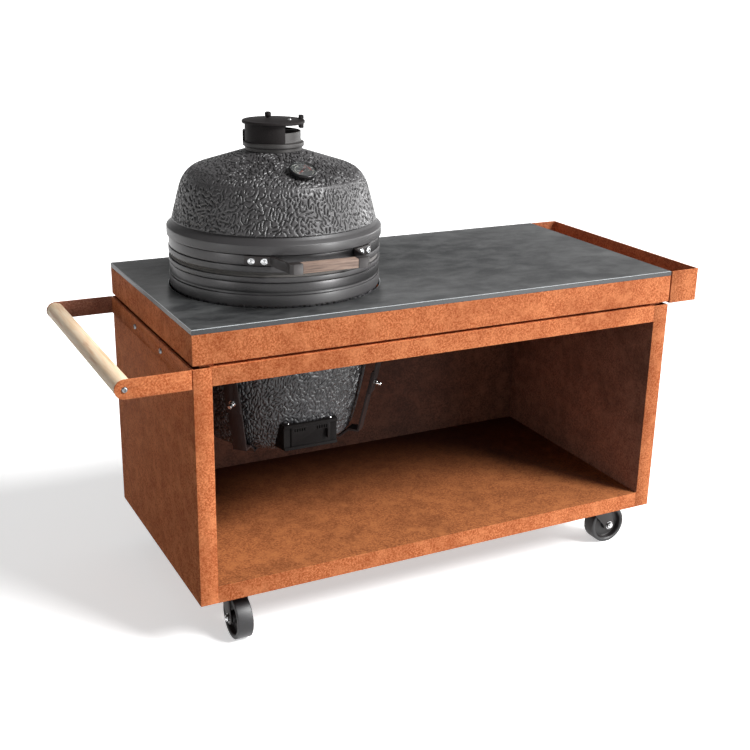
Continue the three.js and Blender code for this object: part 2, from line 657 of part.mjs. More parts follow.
function makeCaster(name, x, y, headingDeg) {
  const plateBottom = casterHeight - CASTER_PLATE_THICKNESS;
  const raceBottom = plateBottom - RACEWAY_HEIGHT;
  const corner = new THREE.Group();
  corner.position.set(x, y, 0);
  table.add(corner);
  const plate = block(
    [-CASTER_PLATE_LENGTH / 2, CASTER_PLATE_LENGTH / 2],
    [-CASTER_PLATE_WIDTH / 2, CASTER_PLATE_WIDTH / 2],
    [plateBottom, casterHeight],
  );
  const race = rod("z", RACEWAY_RADIUS, raceBottom, plateBottom + FIT_GAP, [0, 0], SMALL_STEPS);
  const pinTop = rod("z", KINGPIN_RADIUS, raceBottom - FORK_SHEET * 2, raceBottom + FIT_GAP,
    [0, 0]);
  piece(`${name}_plate`, combine(plate, [race, pinTop], []), blackSteelFinish, corner);

  const swivel = new THREE.Group();
  swivel.rotation.z = THREE.MathUtils.degToRad(headingDeg);
  corner.add(swivel);
  const crownTop = raceBottom - FIT_GAP;
  const crownBottom = crownTop - FORK_SHEET;
  const halfWidth = WHEEL_WIDTH / 2 + RUN_GAP * 2;
  const legOuter = halfWidth + FORK_SHEET;
  const leg = new THREE.Shape();
  leg.moveTo(-RACEWAY_RADIUS, crownTop);
  leg.lineTo(-RACEWAY_RADIUS, crownBottom - FORK_SHEET);
  leg.lineTo(CASTER_TRAIL - FORK_LEG_WIDTH / 2, WHEEL_RADIUS);
  leg.absarc(CASTER_TRAIL, WHEEL_RADIUS, FORK_LEG_WIDTH / 2, Math.PI, Math.PI * 2, false);
  leg.lineTo(RACEWAY_RADIUS, crownTop);
  const legs = [[-legOuter, -halfWidth], [halfWidth, legOuter]];
  const cheeks = legs.map(([start, end]) => pushed(leg, "y", start, end));
  const crown = block([-RACEWAY_RADIUS, RACEWAY_RADIUS], [-legOuter, legOuter],
    [crownBottom, crownTop]);
  const centre = [CASTER_TRAIL, WHEEL_RADIUS];
  const axle = rod("y", AXLE_RADIUS, -legOuter - OVERRUN / 2, legOuter + OVERRUN / 2, centre,
    BOLT_STEPS);
  const heads = [-1, 1].map((side) => {
    const start = side > 0 ? legOuter - RUN_GAP : -legOuter - AXLE_HEAD;
    return rod("y", AXLE_HEAD_RADIUS, start, start + AXLE_HEAD + RUN_GAP, centre, BOLT_STEPS);
  });
  const kingpinBore = rod("z", KINGPIN_RADIUS + FIT_GAP, crownBottom - OVERRUN,
    crownTop + OVERRUN, [0, 0]);
  piece(`${name}_fork`, combine(crown, [...cheeks, axle, ...heads], [kingpinBore]),
    blackSteelFinish, swivel);

  const face = WHEEL_WIDTH / 2;
  const rimInner = WHEEL_RADIUS - TREAD_THICKNESS;
  const bore = AXLE_RADIUS + RUN_GAP;
  const wheel = turned([
    [bore, -face],
    [HUB_RADIUS, -face],
    [HUB_RADIUS, -face + WHEEL_DISH],
    [rimInner, -face + WHEEL_DISH],
    [rimInner, -face],
    [WHEEL_RADIUS - TREAD_ROUND, -face],
    [WHEEL_RADIUS, -face + TREAD_ROUND],
    [WHEEL_RADIUS, face - TREAD_ROUND],
    [WHEEL_RADIUS - TREAD_ROUND, face],
    [rimInner, face],
    [rimInner, face - WHEEL_DISH],
    [HUB_RADIUS, face - WHEEL_DISH],
    [HUB_RADIUS, face],
    [bore, face],
  ], WHEEL_STEPS);
  wheel.rotateX(Math.PI / 2);
  wheel.translate(CASTER_TRAIL, 0, WHEEL_RADIUS);
  piece(`${name}_wheel`, wheel, wheelFinish, swivel);
}

function makeCasters() {
  const right = LENGTH - CASTER_INSET_X;
  const rear = DEPTH - CASTER_INSET_Y;
  makeCaster("caster_front_left", CASTER_INSET_X, CASTER_INSET_Y, -90);
  makeCaster("caster_front_right", right, CASTER_INSET_Y, 0);
  makeCaster("caster_rear_left", CASTER_INSET_X, rear, 90);
  makeCaster("caster_rear_right", right, rear, 0);
}

// Kamado ceramics: a bowl and a dome, each a thick shell with grooves for the steel bands

function makeCeramics() {
  const bowl = new THREE.Path();
  bowl.moveTo(0, bowlBottom);
  bowl.lineTo(bowlFloorRadius, bowlBottom);
  const heel = bowlBottom + BOWL_HEEL_RISE;
  bowl.quadraticCurveTo(bowlHeelCornerRadius, bowlBottom, bowlHeelRadius, heel);
  bowl.quadraticCurveTo(bowlWaistRadius, footLipBottom - bowlWaistDrop,
    ceramicRadius, footLipBottom);
  bowl.lineTo(lipRadius, footLipBottom);
  bowl.lineTo(lipRadius, footLipTop - LIP_ROUND);
  bowl.lineTo(lipRadius - LIP_ROUND, footLipTop);
  bowl.lineTo(ceramicRadius, footLipTop);
  bowl.lineTo(ceramicRadius, rimLipBottom);
  bowl.lineTo(lipRadius, rimLipBottom);
  bowl.lineTo(lipRadius, bowlTop - LIP_ROUND);
  bowl.lineTo(lipRadius - LIP_ROUND, bowlTop);
  bowl.lineTo(innerRadius, bowlTop);
  bowl.lineTo(innerRadius, footLipBottom);
  bowl.lineTo(bowlWaistRadius - CERAMIC_WALL, footLipBottom - bowlWaistDrop);
  bowl.lineTo(bowlHeelRadius - CERAMIC_WALL, heel + CERAMIC_WALL);
  bowl.lineTo(bowlFloorRadius - CERAMIC_WALL, bowlBottom + CERAMIC_WALL);
  bowl.lineTo(0, bowlBottom + CERAMIC_WALL);
  const draftHole = block(
    [-DRAFT_HOLE_WIDTH / 2, DRAFT_HOLE_WIDTH / 2],
    [-bowlWaistRadius, -bowlWaistRadius / 2],
    [draftMiddle - DRAFT_HOLE_HEIGHT / 2, draftMiddle + DRAFT_HOLE_HEIGHT / 2],
  );
  piece("base_bowl", combine(turned(pathPoints(bowl)), [], [draftHole]), ceramicFinish, kamado);

  const shoulderRadius = ceramicRadius + SHOULDER_LIP_REACH;
  const shoulderLipTop = shoulderLipBottom + SHOULDER_LIP_HEIGHT;
  const dome = new THREE.Path();
  dome.moveTo(innerRadius, domeBottom);
  dome.lineTo(lipRadius - LIP_ROUND, domeBottom);
  dome.lineTo(lipRadius, domeBottom + LIP_ROUND);
  dome.lineTo(lipRadius, domeBottom + DOME_LIP_HEIGHT);
  dome.lineTo(ceramicRadius, domeBottom + DOME_LIP_HEIGHT);
  dome.lineTo(ceramicRadius, shoulderLipBottom);
  dome.lineTo(shoulderRadius, shoulderLipBottom);
  dome.lineTo(shoulderRadius, shoulderLipTop);
  dome.quadraticCurveTo(domeSideBaseRadius, shoulderLipTop + SHOULDER_LIP_SLOPE / 2,
    domeSideBaseRadius, domeSideBase);
  dome.lineTo(domeSideTopRadius, domeSideTop);
  dome.quadraticCurveTo(domeShoulderRadius, domeSideTop + domeShoulderRise,
    domeConeBaseRadius, domeSideTop + domeConeBaseRise);
  dome.lineTo(DOME_NECK_RADIUS, domeNeck);
  dome.lineTo(FLUE_RADIUS, domeNeck);
  dome.lineTo(FLUE_RADIUS, domeNeck - CERAMIC_WALL);
  dome.lineTo(domeConeBaseRadius - CERAMIC_WALL,
    domeSideTop + domeConeBaseRise - CERAMIC_WALL);
  dome.lineTo(domeShoulderRadius - CERAMIC_WALL, domeSideTop);
  const probe = dialPlaced(rod("z", PROBE_RADIUS + FIT_GAP, -PROBE_LENGTH - OVERRUN,
    dialStandoff, [0, 0]));
  piece("dome", combine(turned(pathPoints(dome)), [], [probe]), ceramicFinish, lid);

  const gasketInner = lipRadius - LIP_ROUND - LIP_ROUND - GASKET_WIDTH;
  const gasketOuter = gasketInner + GASKET_WIDTH;
  const baseGasket = ring(gasketInner, gasketOuter, bowlTop, seam);
  piece("base_gasket", baseGasket, gasketFinish, kamado);
  const lidGasket = ring(gasketInner, gasketOuter, seam + FIT_GAP, domeBottom);
  piece("lid_gasket", lidGasket, gasketFinish, lid);
}

// A band round the ceramic, in one piece with its clamp ears and bolt at the side
function bandWithClamp(bottom) {
  const top = bottom + BAND_WIDTH;
  const band = ring(ceramicRadius + FIT_GAP, bandOuter, bottom, top);
  const earWidth = HINGE_PLATE;
  const middle = (bottom + top) / 2;
  const ears = [-1, 1].map((side) => {
    const start = side * (earWidth + FIT_GAP) - earWidth / 2;
    return block([bandOuter - BAND_SHEET, bandOuter + BAND_WIDTH / 2], [start, start + earWidth],
      [bottom, top]);
  });
  const bolt = rod("y", HINGE_PIN_RADIUS / 2, -earWidth * 3, earWidth * 3,
    [bandOuter + BAND_WIDTH / 4, middle], BOLT_STEPS);
  const nuts = [-1, 1].map((side) => {
    const start = side > 0 ? earWidth * 3 / 2 : -earWidth * 5 / 2;
    return rod("y", HINGE_PIN_RADIUS, start, start + earWidth, [bandOuter + BAND_WIDTH / 4, middle],
      BOLT_STEPS);
  });
  return combine(band, [...ears, bolt, ...nuts], []);
}

// Rear hinge: knuckles on the lower band, an arm on the upper band, and one pin

const hingeY = bandOuter + HINGE_REACH;
const hingeZ = seam + HINGE_RISE;

function makeBandsAndHinge() {
  piece("base_band", bandWithClamp(lowerBandBottom + BAND_CLEARANCE), bandFinish, kamado);
  piece("lid_band", bandWithClamp(upperBandBottom), bandFinish, lid);

  const bore = rod("x", HINGE_PIN_RADIUS + FIT_GAP, -HINGE_HALF_WIDTH - OVERRUN,
    HINGE_HALF_WIDTH + OVERRUN, [hingeY, hingeZ]);
  const inner = HINGE_HALF_WIDTH - HINGE_KNUCKLE;
  const seatY = bandOuter + FIT_GAP;
  const lowerZ = [lowerBandBottom + BAND_CLEARANCE, lowerBandBottom + BAND_CLEARANCE + BAND_WIDTH];
  const upperZ = [upperBandBottom, upperBandBottom + BAND_WIDTH];

  // Both plates follow the round band that they are bolted to.
  const bandSpace = (z) => rod("z", seatY, z[0] - OVERRUN - OVERRUN, z[1] + OVERRUN + OVERRUN,
    [0, 0], ROUND_STEPS * 2);
  const plateNear = bandOuter - BAND_WIDTH / 2;
  const lowerPlate = block([-HINGE_HALF_WIDTH, HINGE_HALF_WIDTH],
    [plateNear, seatY + HINGE_PLATE], lowerZ);
  const rimSpace = rod("z", lipRadius + RUN_GAP, rimLipBottom - RUN_GAP, upperZ[1], [0, 0],
    ROUND_STEPS * 2);
  const knuckles = [];
  for (const side of [-1, 1]) {
    const x = side > 0 ? [inner + RUN_GAP, HINGE_HALF_WIDTH] : [-HINGE_HALF_WIDTH, -inner - RUN_GAP];
    knuckles.push(rod("x", HINGE_BARREL_RADIUS, x[0], x[1], [hingeY, hingeZ]));
    const cheek = outline([
      [seatY, lowerZ[0]],
      [seatY + HINGE_PLATE, lowerZ[0]],
      [hingeY + HINGE_BARREL_RADIUS, hingeZ],
      [hingeY - HINGE_BARREL_RADIUS, hingeZ],
      [seatY, lowerZ[1]],
    ]);
    knuckles.push(pushed(cheek, "x", x[0], x[1]));
  }
  const bracket = combine(lowerPlate, knuckles, [bore, bandSpace(lowerZ), rimSpace]);
  piece("hinge_bracket", bracket, blackSteelFinish, kamado);

  const armX = [-inner, inner];
  const upperPlate = block(armX, [plateNear, seatY + HINGE_PLATE], upperZ);
  const barrel = rod("x", HINGE_BARREL_RADIUS, armX[0], armX[1], [hingeY, hingeZ]);
  const web = outline([
    [seatY, upperZ[1]],
    [seatY + HINGE_PLATE, upperZ[1]],
    [hingeY + HINGE_BARREL_RADIUS, hingeZ],
    [hingeY - HINGE_BARREL_RADIUS, hingeZ],
    [seatY, upperZ[0]],
  ]);
  const armWeb = pushed(web, "x", armX[0], armX[1]);
  const lidRim = rod("z", lipRadius + RUN_GAP, seam, upperBandBottom - FIT_GAP, [0, 0],
    ROUND_STEPS * 2);
  const arm = combine(upperPlate, [barrel, armWeb], [bore, bandSpace(upperZ), lidRim]);
  piece("hinge_arm", arm, blackSteelFinish, lid);

  const pin = rod("x", HINGE_PIN_RADIUS, -HINGE_HALF_WIDTH - FIT_GAP, HINGE_HALF_WIDTH + FIT_GAP,
    [hingeY, hingeZ]);
  const heads = [-1, 1].map((side) => {
    const start = HINGE_HALF_WIDTH + FIT_GAP;
    const range = side > 0 ? [start, start + HINGE_PIN_HEAD] : [-start - HINGE_PIN_HEAD, -start];
    return rod("x", HINGE_PIN_HEAD_RADIUS, range[0], range[1], [hingeY, hingeZ]);
  });
  piece("hinge_pin", combine(pin, heads, []), steelFinish, kamado);
}

// Lid handle: two bent brackets bolted to the upper band, and a square wooden grip

function makeLidHandle() {
  const middle = upperBandBottom + BAND_WIDTH / 2;
  const z = [middle - HANDLE_PLATE_HEIGHT / 2, middle + HANDLE_PLATE_HEIGHT / 2];
  const blockZ = [middle - HANDLE_BLOCK / 2, middle + HANDLE_BLOCK / 2];
  const plateOuter = bandOuter + FIT_GAP + HANDLE_BAR_THICKNESS;
  const half = GRIP_LENGTH / 2;
  const tenonBore = rod("x", GRIP_TENON_RADIUS + FIT_GAP, -half - HANDLE_BLOCK_WIDTH / 2,
    half + HANDLE_BLOCK_WIDTH / 2, [-gripAxisRadius, middle]);
  const sides = [["handle_bracket_left", -1], ["handle_bracket_right", 1]];
  for (const [name, side] of sides) {
    const span = HANDLE_PLATE_END_DEG - HANDLE_PLATE_START_DEG;
    const start = side > 0 ? -90 + HANDLE_PLATE_START_DEG : -90 - HANDLE_PLATE_END_DEG;
    const collar = ring(bandOuter + FIT_GAP, plateOuter, z[0], z[1], ROUND_STEPS * 2);
    const plate = keepInside(collar, sector(start, span, ceramicRadius * 2, z[0] - OVERRUN,
      z[1] + OVERRUN));
    const bend = THREE.MathUtils.degToRad(HANDLE_PLATE_START_DEG);
    const rootX = plateOuter * Math.sin(bend);
    const rootY = -plateOuter * Math.cos(bend);
    const seatX = (plateOuter - HANDLE_BAR_THICKNESS) * Math.sin(bend);
    const seatY = -(plateOuter - HANDLE_BAR_THICKNESS) * Math.cos(bend);
    const near = half + HANDLE_BLOCK_WIDTH - HANDLE_BAR_THICKNESS;
    const arm = outline([
      [side * rootX, rootY],
      [side * (rootX + HANDLE_BAR_THICKNESS), rootY + HANDLE_BAR_THICKNESS / 2],
      [side * (near + HANDLE_BAR_THICKNESS), -gripAxisRadius + HANDLE_BLOCK / 2],
      [side * (near + HANDLE_BAR_THICKNESS), -gripAxisRadius],
      [side * near, -gripAxisRadius],
      [side * seatX, seatY],
    ]);
    const chamfer = HANDLE_BLOCK / 4;
    const corner = outline([
      [side * (half + FIT_GAP), -gripAxisRadius + HANDLE_BLOCK / 2],
      [side * (half + FIT_GAP), -gripAxisRadius - HANDLE_BLOCK / 2],
      [side * (half + HANDLE_BLOCK_WIDTH - chamfer), -gripAxisRadius - HANDLE_BLOCK / 2],
      [side * (half + HANDLE_BLOCK_WIDTH), -gripAxisRadius - HANDLE_BLOCK / 2 + chamfer],
      [side * (half + HANDLE_BLOCK_WIDTH), -gripAxisRadius + HANDLE_BLOCK / 2],
    ]);
    const pieces = [
      pushed(arm, "z", z[0], z[1]),
      pushed(corner, "z", blockZ[0], blockZ[1]),
    ];
    for (const angle of [HANDLE_BOLT_INNER_DEG, HANDLE_BOLT_OUTER_DEG]) {
      const head = buttonBolt(BAND_BOLT_RADIUS, BAND_BOLT_HEAD, BAND_BOLT_RADIUS / 2,
        HANDLE_BAR_THICKNESS / 2);
      head.rotateX(Math.PI / 2);
      head.translate(0, -plateOuter + RUN_GAP / 2, middle);
      head.rotateZ(THREE.MathUtils.degToRad(side * angle));
      pieces.push(head);
    }
    piece(name, combine(plate, pieces, [tenonBore]), blackSteelFinish, lid);
  }
  const grip = block([-half, half],
    [-gripAxisRadius - GRIP_SIDE / 2, -gripAxisRadius + GRIP_SIDE / 2],
    [middle - GRIP_SIDE / 2, middle + GRIP_SIDE / 2]);
  const tenon = rod("x", GRIP_TENON_RADIUS, -half - HANDLE_BLOCK_WIDTH / 2 + RUN_GAP,
    half + HANDLE_BLOCK_WIDTH / 2 - RUN_GAP, [-gripAxisRadius, middle]);
  piece("handle_grip", combine(grip, [tenon], []), gripFinish, lid);
}

// Moves a shape made about the dial's own axis onto the slope of the dome.
function dialPlaced(geometry) {
  const share = (dialSurfaceRadius - DOME_NECK_RADIUS) / (domeConeBaseRadius - DOME_NECK_RADIUS);
  const coneDrop = DOME_NECK_RISE - domeConeBaseRise;
  const slope = Math.atan2(coneDrop, domeConeBaseRadius - DOME_NECK_RADIUS);
  geometry.rotateX(slope + THREE.MathUtils.degToRad(DIAL_LEAN_DEG));
  geometry.translate(0, -dialSurfaceRadius, domeNeck - share * coneDrop);
  return geometry;
}

// Thermometer: turned case with its probe, a flat glass, and a needle on a post

function makeThermometer() {
  const back = DIAL_BACK_GAP;
  const floor = dialStandoff - DIAL_RECESS;
  const bezel = DIAL_RADIUS - DIAL_RIM;
  const body = dialPlaced(turned([
    [0, -PROBE_LENGTH],
    [PROBE_RADIUS, -PROBE_LENGTH],
    [PROBE_RADIUS, DIAL_RIM / 2],
    [DIAL_NECK_RADIUS, DIAL_RIM / 2],
    [DIAL_NECK_RADIUS, back],
    [DIAL_RADIUS - DIAL_RIM, back],
    [DIAL_RADIUS, back + DIAL_RIM],
    [DIAL_RADIUS, dialStandoff - DIAL_RIM / 2],
    [DIAL_RADIUS - DIAL_RIM / 2, dialStandoff],
    [bezel, dialStandoff],
    [bezel, floor],
    [NEEDLE_POST_RADIUS, floor],
    [NEEDLE_POST_RADIUS, floor + NEEDLE_THICKNESS * 2],
    [0, floor + NEEDLE_THICKNESS * 2],
  ], WHEEL_STEPS));
  piece("thermometer_case", body, dialFinish, lid);
  const glassTop = dialStandoff - NEEDLE_THICKNESS / 2;
  const glass = dialPlaced(rod("z", bezel - FIT_GAP, glassTop - DIAL_GLASS, glassTop, [0, 0],
    WHEEL_STEPS));
  piece("thermometer_glass", glass, glassFinish, lid);
  const needleZ = [floor + FIT_GAP, floor + FIT_GAP + NEEDLE_THICKNESS];
  const blade = outline([
    [-NEEDLE_WIDTH, -NEEDLE_LENGTH / 4],
    [NEEDLE_WIDTH, -NEEDLE_LENGTH / 4],
    [NEEDLE_WIDTH / 4, NEEDLE_LENGTH],
    [-NEEDLE_WIDTH / 4, NEEDLE_LENGTH],
  ]);
  const hub = rod("z", NEEDLE_WIDTH * 2, needleZ[0], needleZ[1], [0, 0]);
  const bore = rod("z", NEEDLE_POST_RADIUS + FIT_GAP, needleZ[0] - OVERRUN, needleZ[1] + OVERRUN,
    [0, 0]);
  const needle = combine(pushed(blade, "z", needleZ[0], needleZ[1]), [hub], [bore]);
  needle.rotateZ(Math.PI * 3 / 4);
  piece("thermometer_needle", dialPlaced(needle), needleFinish, lid);
}

// Flue: a cast collar and wall with a fixed shield, and a cap whose skirt turns round it

function makeFlue() {
  const collarBottom = domeNeck;
  const ringBottom = collarBottom + COLLAR_HEIGHT;
  const wallBottom = ringBottom + COLLAR_RING_HEIGHT;
  const wallTop = wallBottom + FLUE_WALL_HEIGHT;
  const shieldTop = wallTop + SHIELD_HEIGHT;
  const wallInner = FLUE_WALL_TOP_RADIUS - FLUE_WALL;
  const body = turned([
    [FLUE_RADIUS, collarBottom],
    [COLLAR_RADIUS, collarBottom],
    [COLLAR_RADIUS, ringBottom],
    [COLLAR_RING_RADIUS, ringBottom + LIP_ROUND],
    [COLLAR_RING_RADIUS, wallBottom - LIP_ROUND],
    [COLLAR_RADIUS, wallBottom],
    [FLUE_WALL_TOP_RADIUS, wallBottom],
    [FLUE_WALL_TOP_RADIUS, wallTop],
    [wallInner, wallTop],
    [wallInner, ringBottom],
    [FLUE_RADIUS, ringBottom - LIP_ROUND],
  ], FLUE_STEPS);
  const shieldSpan = 360 - FLUE_OPENING_DEG;
  const shieldStart = FLUE_OPENING_START_DEG + FLUE_OPENING_DEG;
  const shieldRing = ring(wallInner, FLUE_WALL_TOP_RADIUS, wallTop - RUN_GAP, shieldTop,
    FLUE_STEPS);
  const reach = COLLAR_RING_RADIUS * 2;
  const shield = keepInside(shieldRing,
    sector(shieldStart, shieldSpan, reach, wallBottom, shieldTop + OVERRUN));
  const bridge = block([-wallInner - FLUE_WALL / 2, wallInner + FLUE_WALL / 2],
    [-BRIDGE_WIDTH / 2, BRIDGE_WIDTH / 2], [wallTop - BRIDGE_HEIGHT, wallTop - RUN_GAP]);
  const spindle = rod("z", SPINDLE_RADIUS, wallTop - BRIDGE_HEIGHT, wallTop + SPINDLE_HEIGHT,
    [0, 0]);
  const skirtInner = FLUE_WALL_TOP_RADIUS + RUN_GAP;
  const skirtOuter = skirtInner + SKIRT_WALL;
  const capRadius = skirtOuter + CAP_OVERHANG;
  const earReach = skirtOuter + RUN_GAP + COLLAR_EAR_SHEET;
  const earAcross = [-COLLAR_EAR_WIDTH / 2, COLLAR_EAR_WIDTH / 2];
  const ear = block([skirtOuter + RUN_GAP, earReach], earAcross,
    [ringBottom, ringBottom + COLLAR_EAR_HEIGHT]);
  const earRoot = block([FLUE_WALL_TOP_RADIUS, earReach], earAcross,
    [ringBottom, wallBottom - LIP_ROUND]);
  ear.rotateZ(THREE.MathUtils.degToRad(COLLAR_EAR_AZIMUTH_DEG));
  earRoot.rotateZ(THREE.MathUtils.degToRad(COLLAR_EAR_AZIMUTH_DEG));
  piece("flue_collar", combine(body, [shield, bridge, spindle, ear, earRoot], []), castFinish, lid);

  const capBottom = shieldTop + CAP_GAP;
  const capTop = capBottom + CAP_RIM;
  const plate = turned([
    [0, capBottom],
    [capRadius - LIP_ROUND, capBottom],
    [capRadius, capBottom + LIP_ROUND],
    [capRadius, capTop - LIP_ROUND],
    [capRadius - LIP_ROUND, capTop],
    [CAP_HUB_RADIUS, capTop + CAP_CROWN],
    [0, capTop + CAP_CROWN],
  ], FLUE_STEPS);
  const skirtRing = ring(skirtInner, skirtOuter, wallBottom + RUN_GAP,
    capBottom + RUN_GAP, FLUE_STEPS);
  const skirt = keepInside(skirtRing,
    sector(shieldStart, shieldSpan, reach, collarBottom, shieldTop + OVERRUN));
  const hub = rod("z", CAP_HUB_RADIUS, wallTop, capBottom + RUN_GAP, [0, 0]);
  const hubBore = rod("z", SPINDLE_RADIUS + FIT_GAP, wallTop - OVERRUN,
    wallTop + SPINDLE_HEIGHT + FIT_GAP, [0, 0]);
  const crownZ = capTop + CAP_CROWN * 2 / 3;
  const knob = turned([
    [0, crownZ - CAP_CROWN],
    [CAP_KNOB_RADIUS / 2, crownZ - CAP_CROWN],
    [CAP_KNOB_RADIUS * 3 / 4, crownZ + CAP_KNOB_HEIGHT / 4],
    [CAP_KNOB_RADIUS, crownZ + CAP_KNOB_HEIGHT / 2],
    [CAP_KNOB_RADIUS, crownZ + CAP_KNOB_HEIGHT * 3 / 4],
    [CAP_KNOB_RADIUS / 2, crownZ + CAP_KNOB_HEIGHT],
    [0, crownZ + CAP_KNOB_HEIGHT],
  ], BOLT_STEPS);
  knob.translate(CAP_KNOB_OFFSET_X, CAP_KNOB_OFFSET_Y, 0);
  const lug = block([skirtInner, skirtInner + TURN_LUG_DEPTH], [-TURN_LUG_WIDTH / 2, TURN_LUG_WIDTH / 2],
    [capBottom - TURN_LUG_DROP, capTop + TURN_LUG_RISE]);
  lug.rotateZ(THREE.MathUtils.degToRad(TURN_LUG_AZIMUTH_DEG));
  piece("flue_cap", combine(plate, [skirt, hub, knob, lug], [hubBore]), castFinish, lid);
}

// Inner parts: firebox, charcoal grate, fire ring and cooking grid, stacked in the bowl

function makeInnerParts() {
  const floor = bowlBottom + CERAMIC_WALL + FIT_GAP;
  const outer = bowlHeelRadius - CERAMIC_WALL - FIREBOX_CLEARANCE * 2;
  const top = floor + FIREBOX_HEIGHT;
  const heel = bowlFloorRadius - CERAMIC_WALL - FIREBOX_CLEARANCE;
  const ledge = floor + FIREBOX_LEDGE_HEIGHT;
  const box = turned([
    [fireboxFloorHoleRadius, floor],
    [heel, floor],
    [outer, floor + FIREBOX_TAPER],
    [fireboxTopRadius, top],
    [fireboxTopRadius - FIREBOX_WALL, top],
    [outer - FIREBOX_WALL, ledge + FIREBOX_TAPER],
    [charcoalGrateRadius + GRATE_CLEARANCE, ledge],
    [charcoalGrateRadius + GRATE_CLEARANCE, ledge - CHARCOAL_GRATE_THICKNESS],
    [charcoalGrateRadius - FIREBOX_WALL / 2, ledge - CHARCOAL_GRATE_THICKNESS],
    [charcoalGrateRadius - FIREBOX_WALL / 2, floor + FIREBOX_FLOOR],
    [fireboxFloorHoleRadius, floor + FIREBOX_FLOOR],
  ], FLUE_STEPS);
  const draft = block(
    [-DRAFT_HOLE_WIDTH / 2, DRAFT_HOLE_WIDTH / 2],
    [-outer - OVERRUN, -fireboxFloorHoleRadius],
    [floor + FIREBOX_FLOOR, draftMiddle + DRAFT_HOLE_HEIGHT / 4],
  );
  piece("firebox", combine(box, [], [draft]), fireclayFinish, kamado);

  const grateBottom = ledge - CHARCOAL_GRATE_THICKNESS + FIT_GAP;
  const disc = rod("z", charcoalGrateRadius, grateBottom, grateBottom + CHARCOAL_GRATE_THICKNESS,
    [0, 0], FLUE_STEPS);
  const slots = [];
  for (let i = 0; i < CHARCOAL_SLOT_COUNT; i += 1) {
    const slot = block([charcoalGrateRadius / 4, charcoalGrateRadius * 5 / 6],
      [-CHARCOAL_SLOT_WIDTH / 2, CHARCOAL_SLOT_WIDTH / 2],
      [grateBottom - OVERRUN, grateBottom + CHARCOAL_GRATE_THICKNESS + OVERRUN]);
    slot.rotateZ(i * Math.PI * 2 / CHARCOAL_SLOT_COUNT);
    slots.push(slot);
  }
  piece("charcoal_grate", combine(disc, [], slots), castFinish, kamado);

  const ringBottom = top + FIT_GAP;
  const fireRing = ring(fireboxTopRadius - FIRE_RING_WALL, fireboxTopRadius, ringBottom,
    ringBottom + FIRE_RING_HEIGHT, FLUE_STEPS);
  piece("fire_ring", fireRing, fireclayFinish, kamado);

  const gridBottom = ringBottom + FIRE_RING_HEIGHT + FIT_GAP - GRID_BAR_INSET;
  const gridZ = [gridBottom, gridBottom + GRID_THICKNESS];
  const rim = ring(gridRadius - GRID_RING_WIDTH, gridRadius, gridZ[0], gridZ[1]);
  const bars = [];
  const pitch = gridRadius * 2 / (GRID_BAR_COUNT + 1);
  for (let i = 1; i <= GRID_BAR_COUNT; i += 1) {
    const x = -gridRadius + i * pitch;
    const reach = Math.sqrt(gridRadius ** 2 - x ** 2) - GRID_RING_WIDTH / 2;
    bars.push(block([x - GRID_BAR_WIDTH / 2, x + GRID_BAR_WIDTH / 2], [-reach, reach],
      [gridZ[0] + GRID_BAR_INSET, gridZ[1] - GRID_BAR_INSET]));
  }
  piece("cooking_grid", combine(rim, bars, []), steelFinish, kamado);
}

// Draft door: a housing flared onto the bowl, and a plate with a tab that slides across it

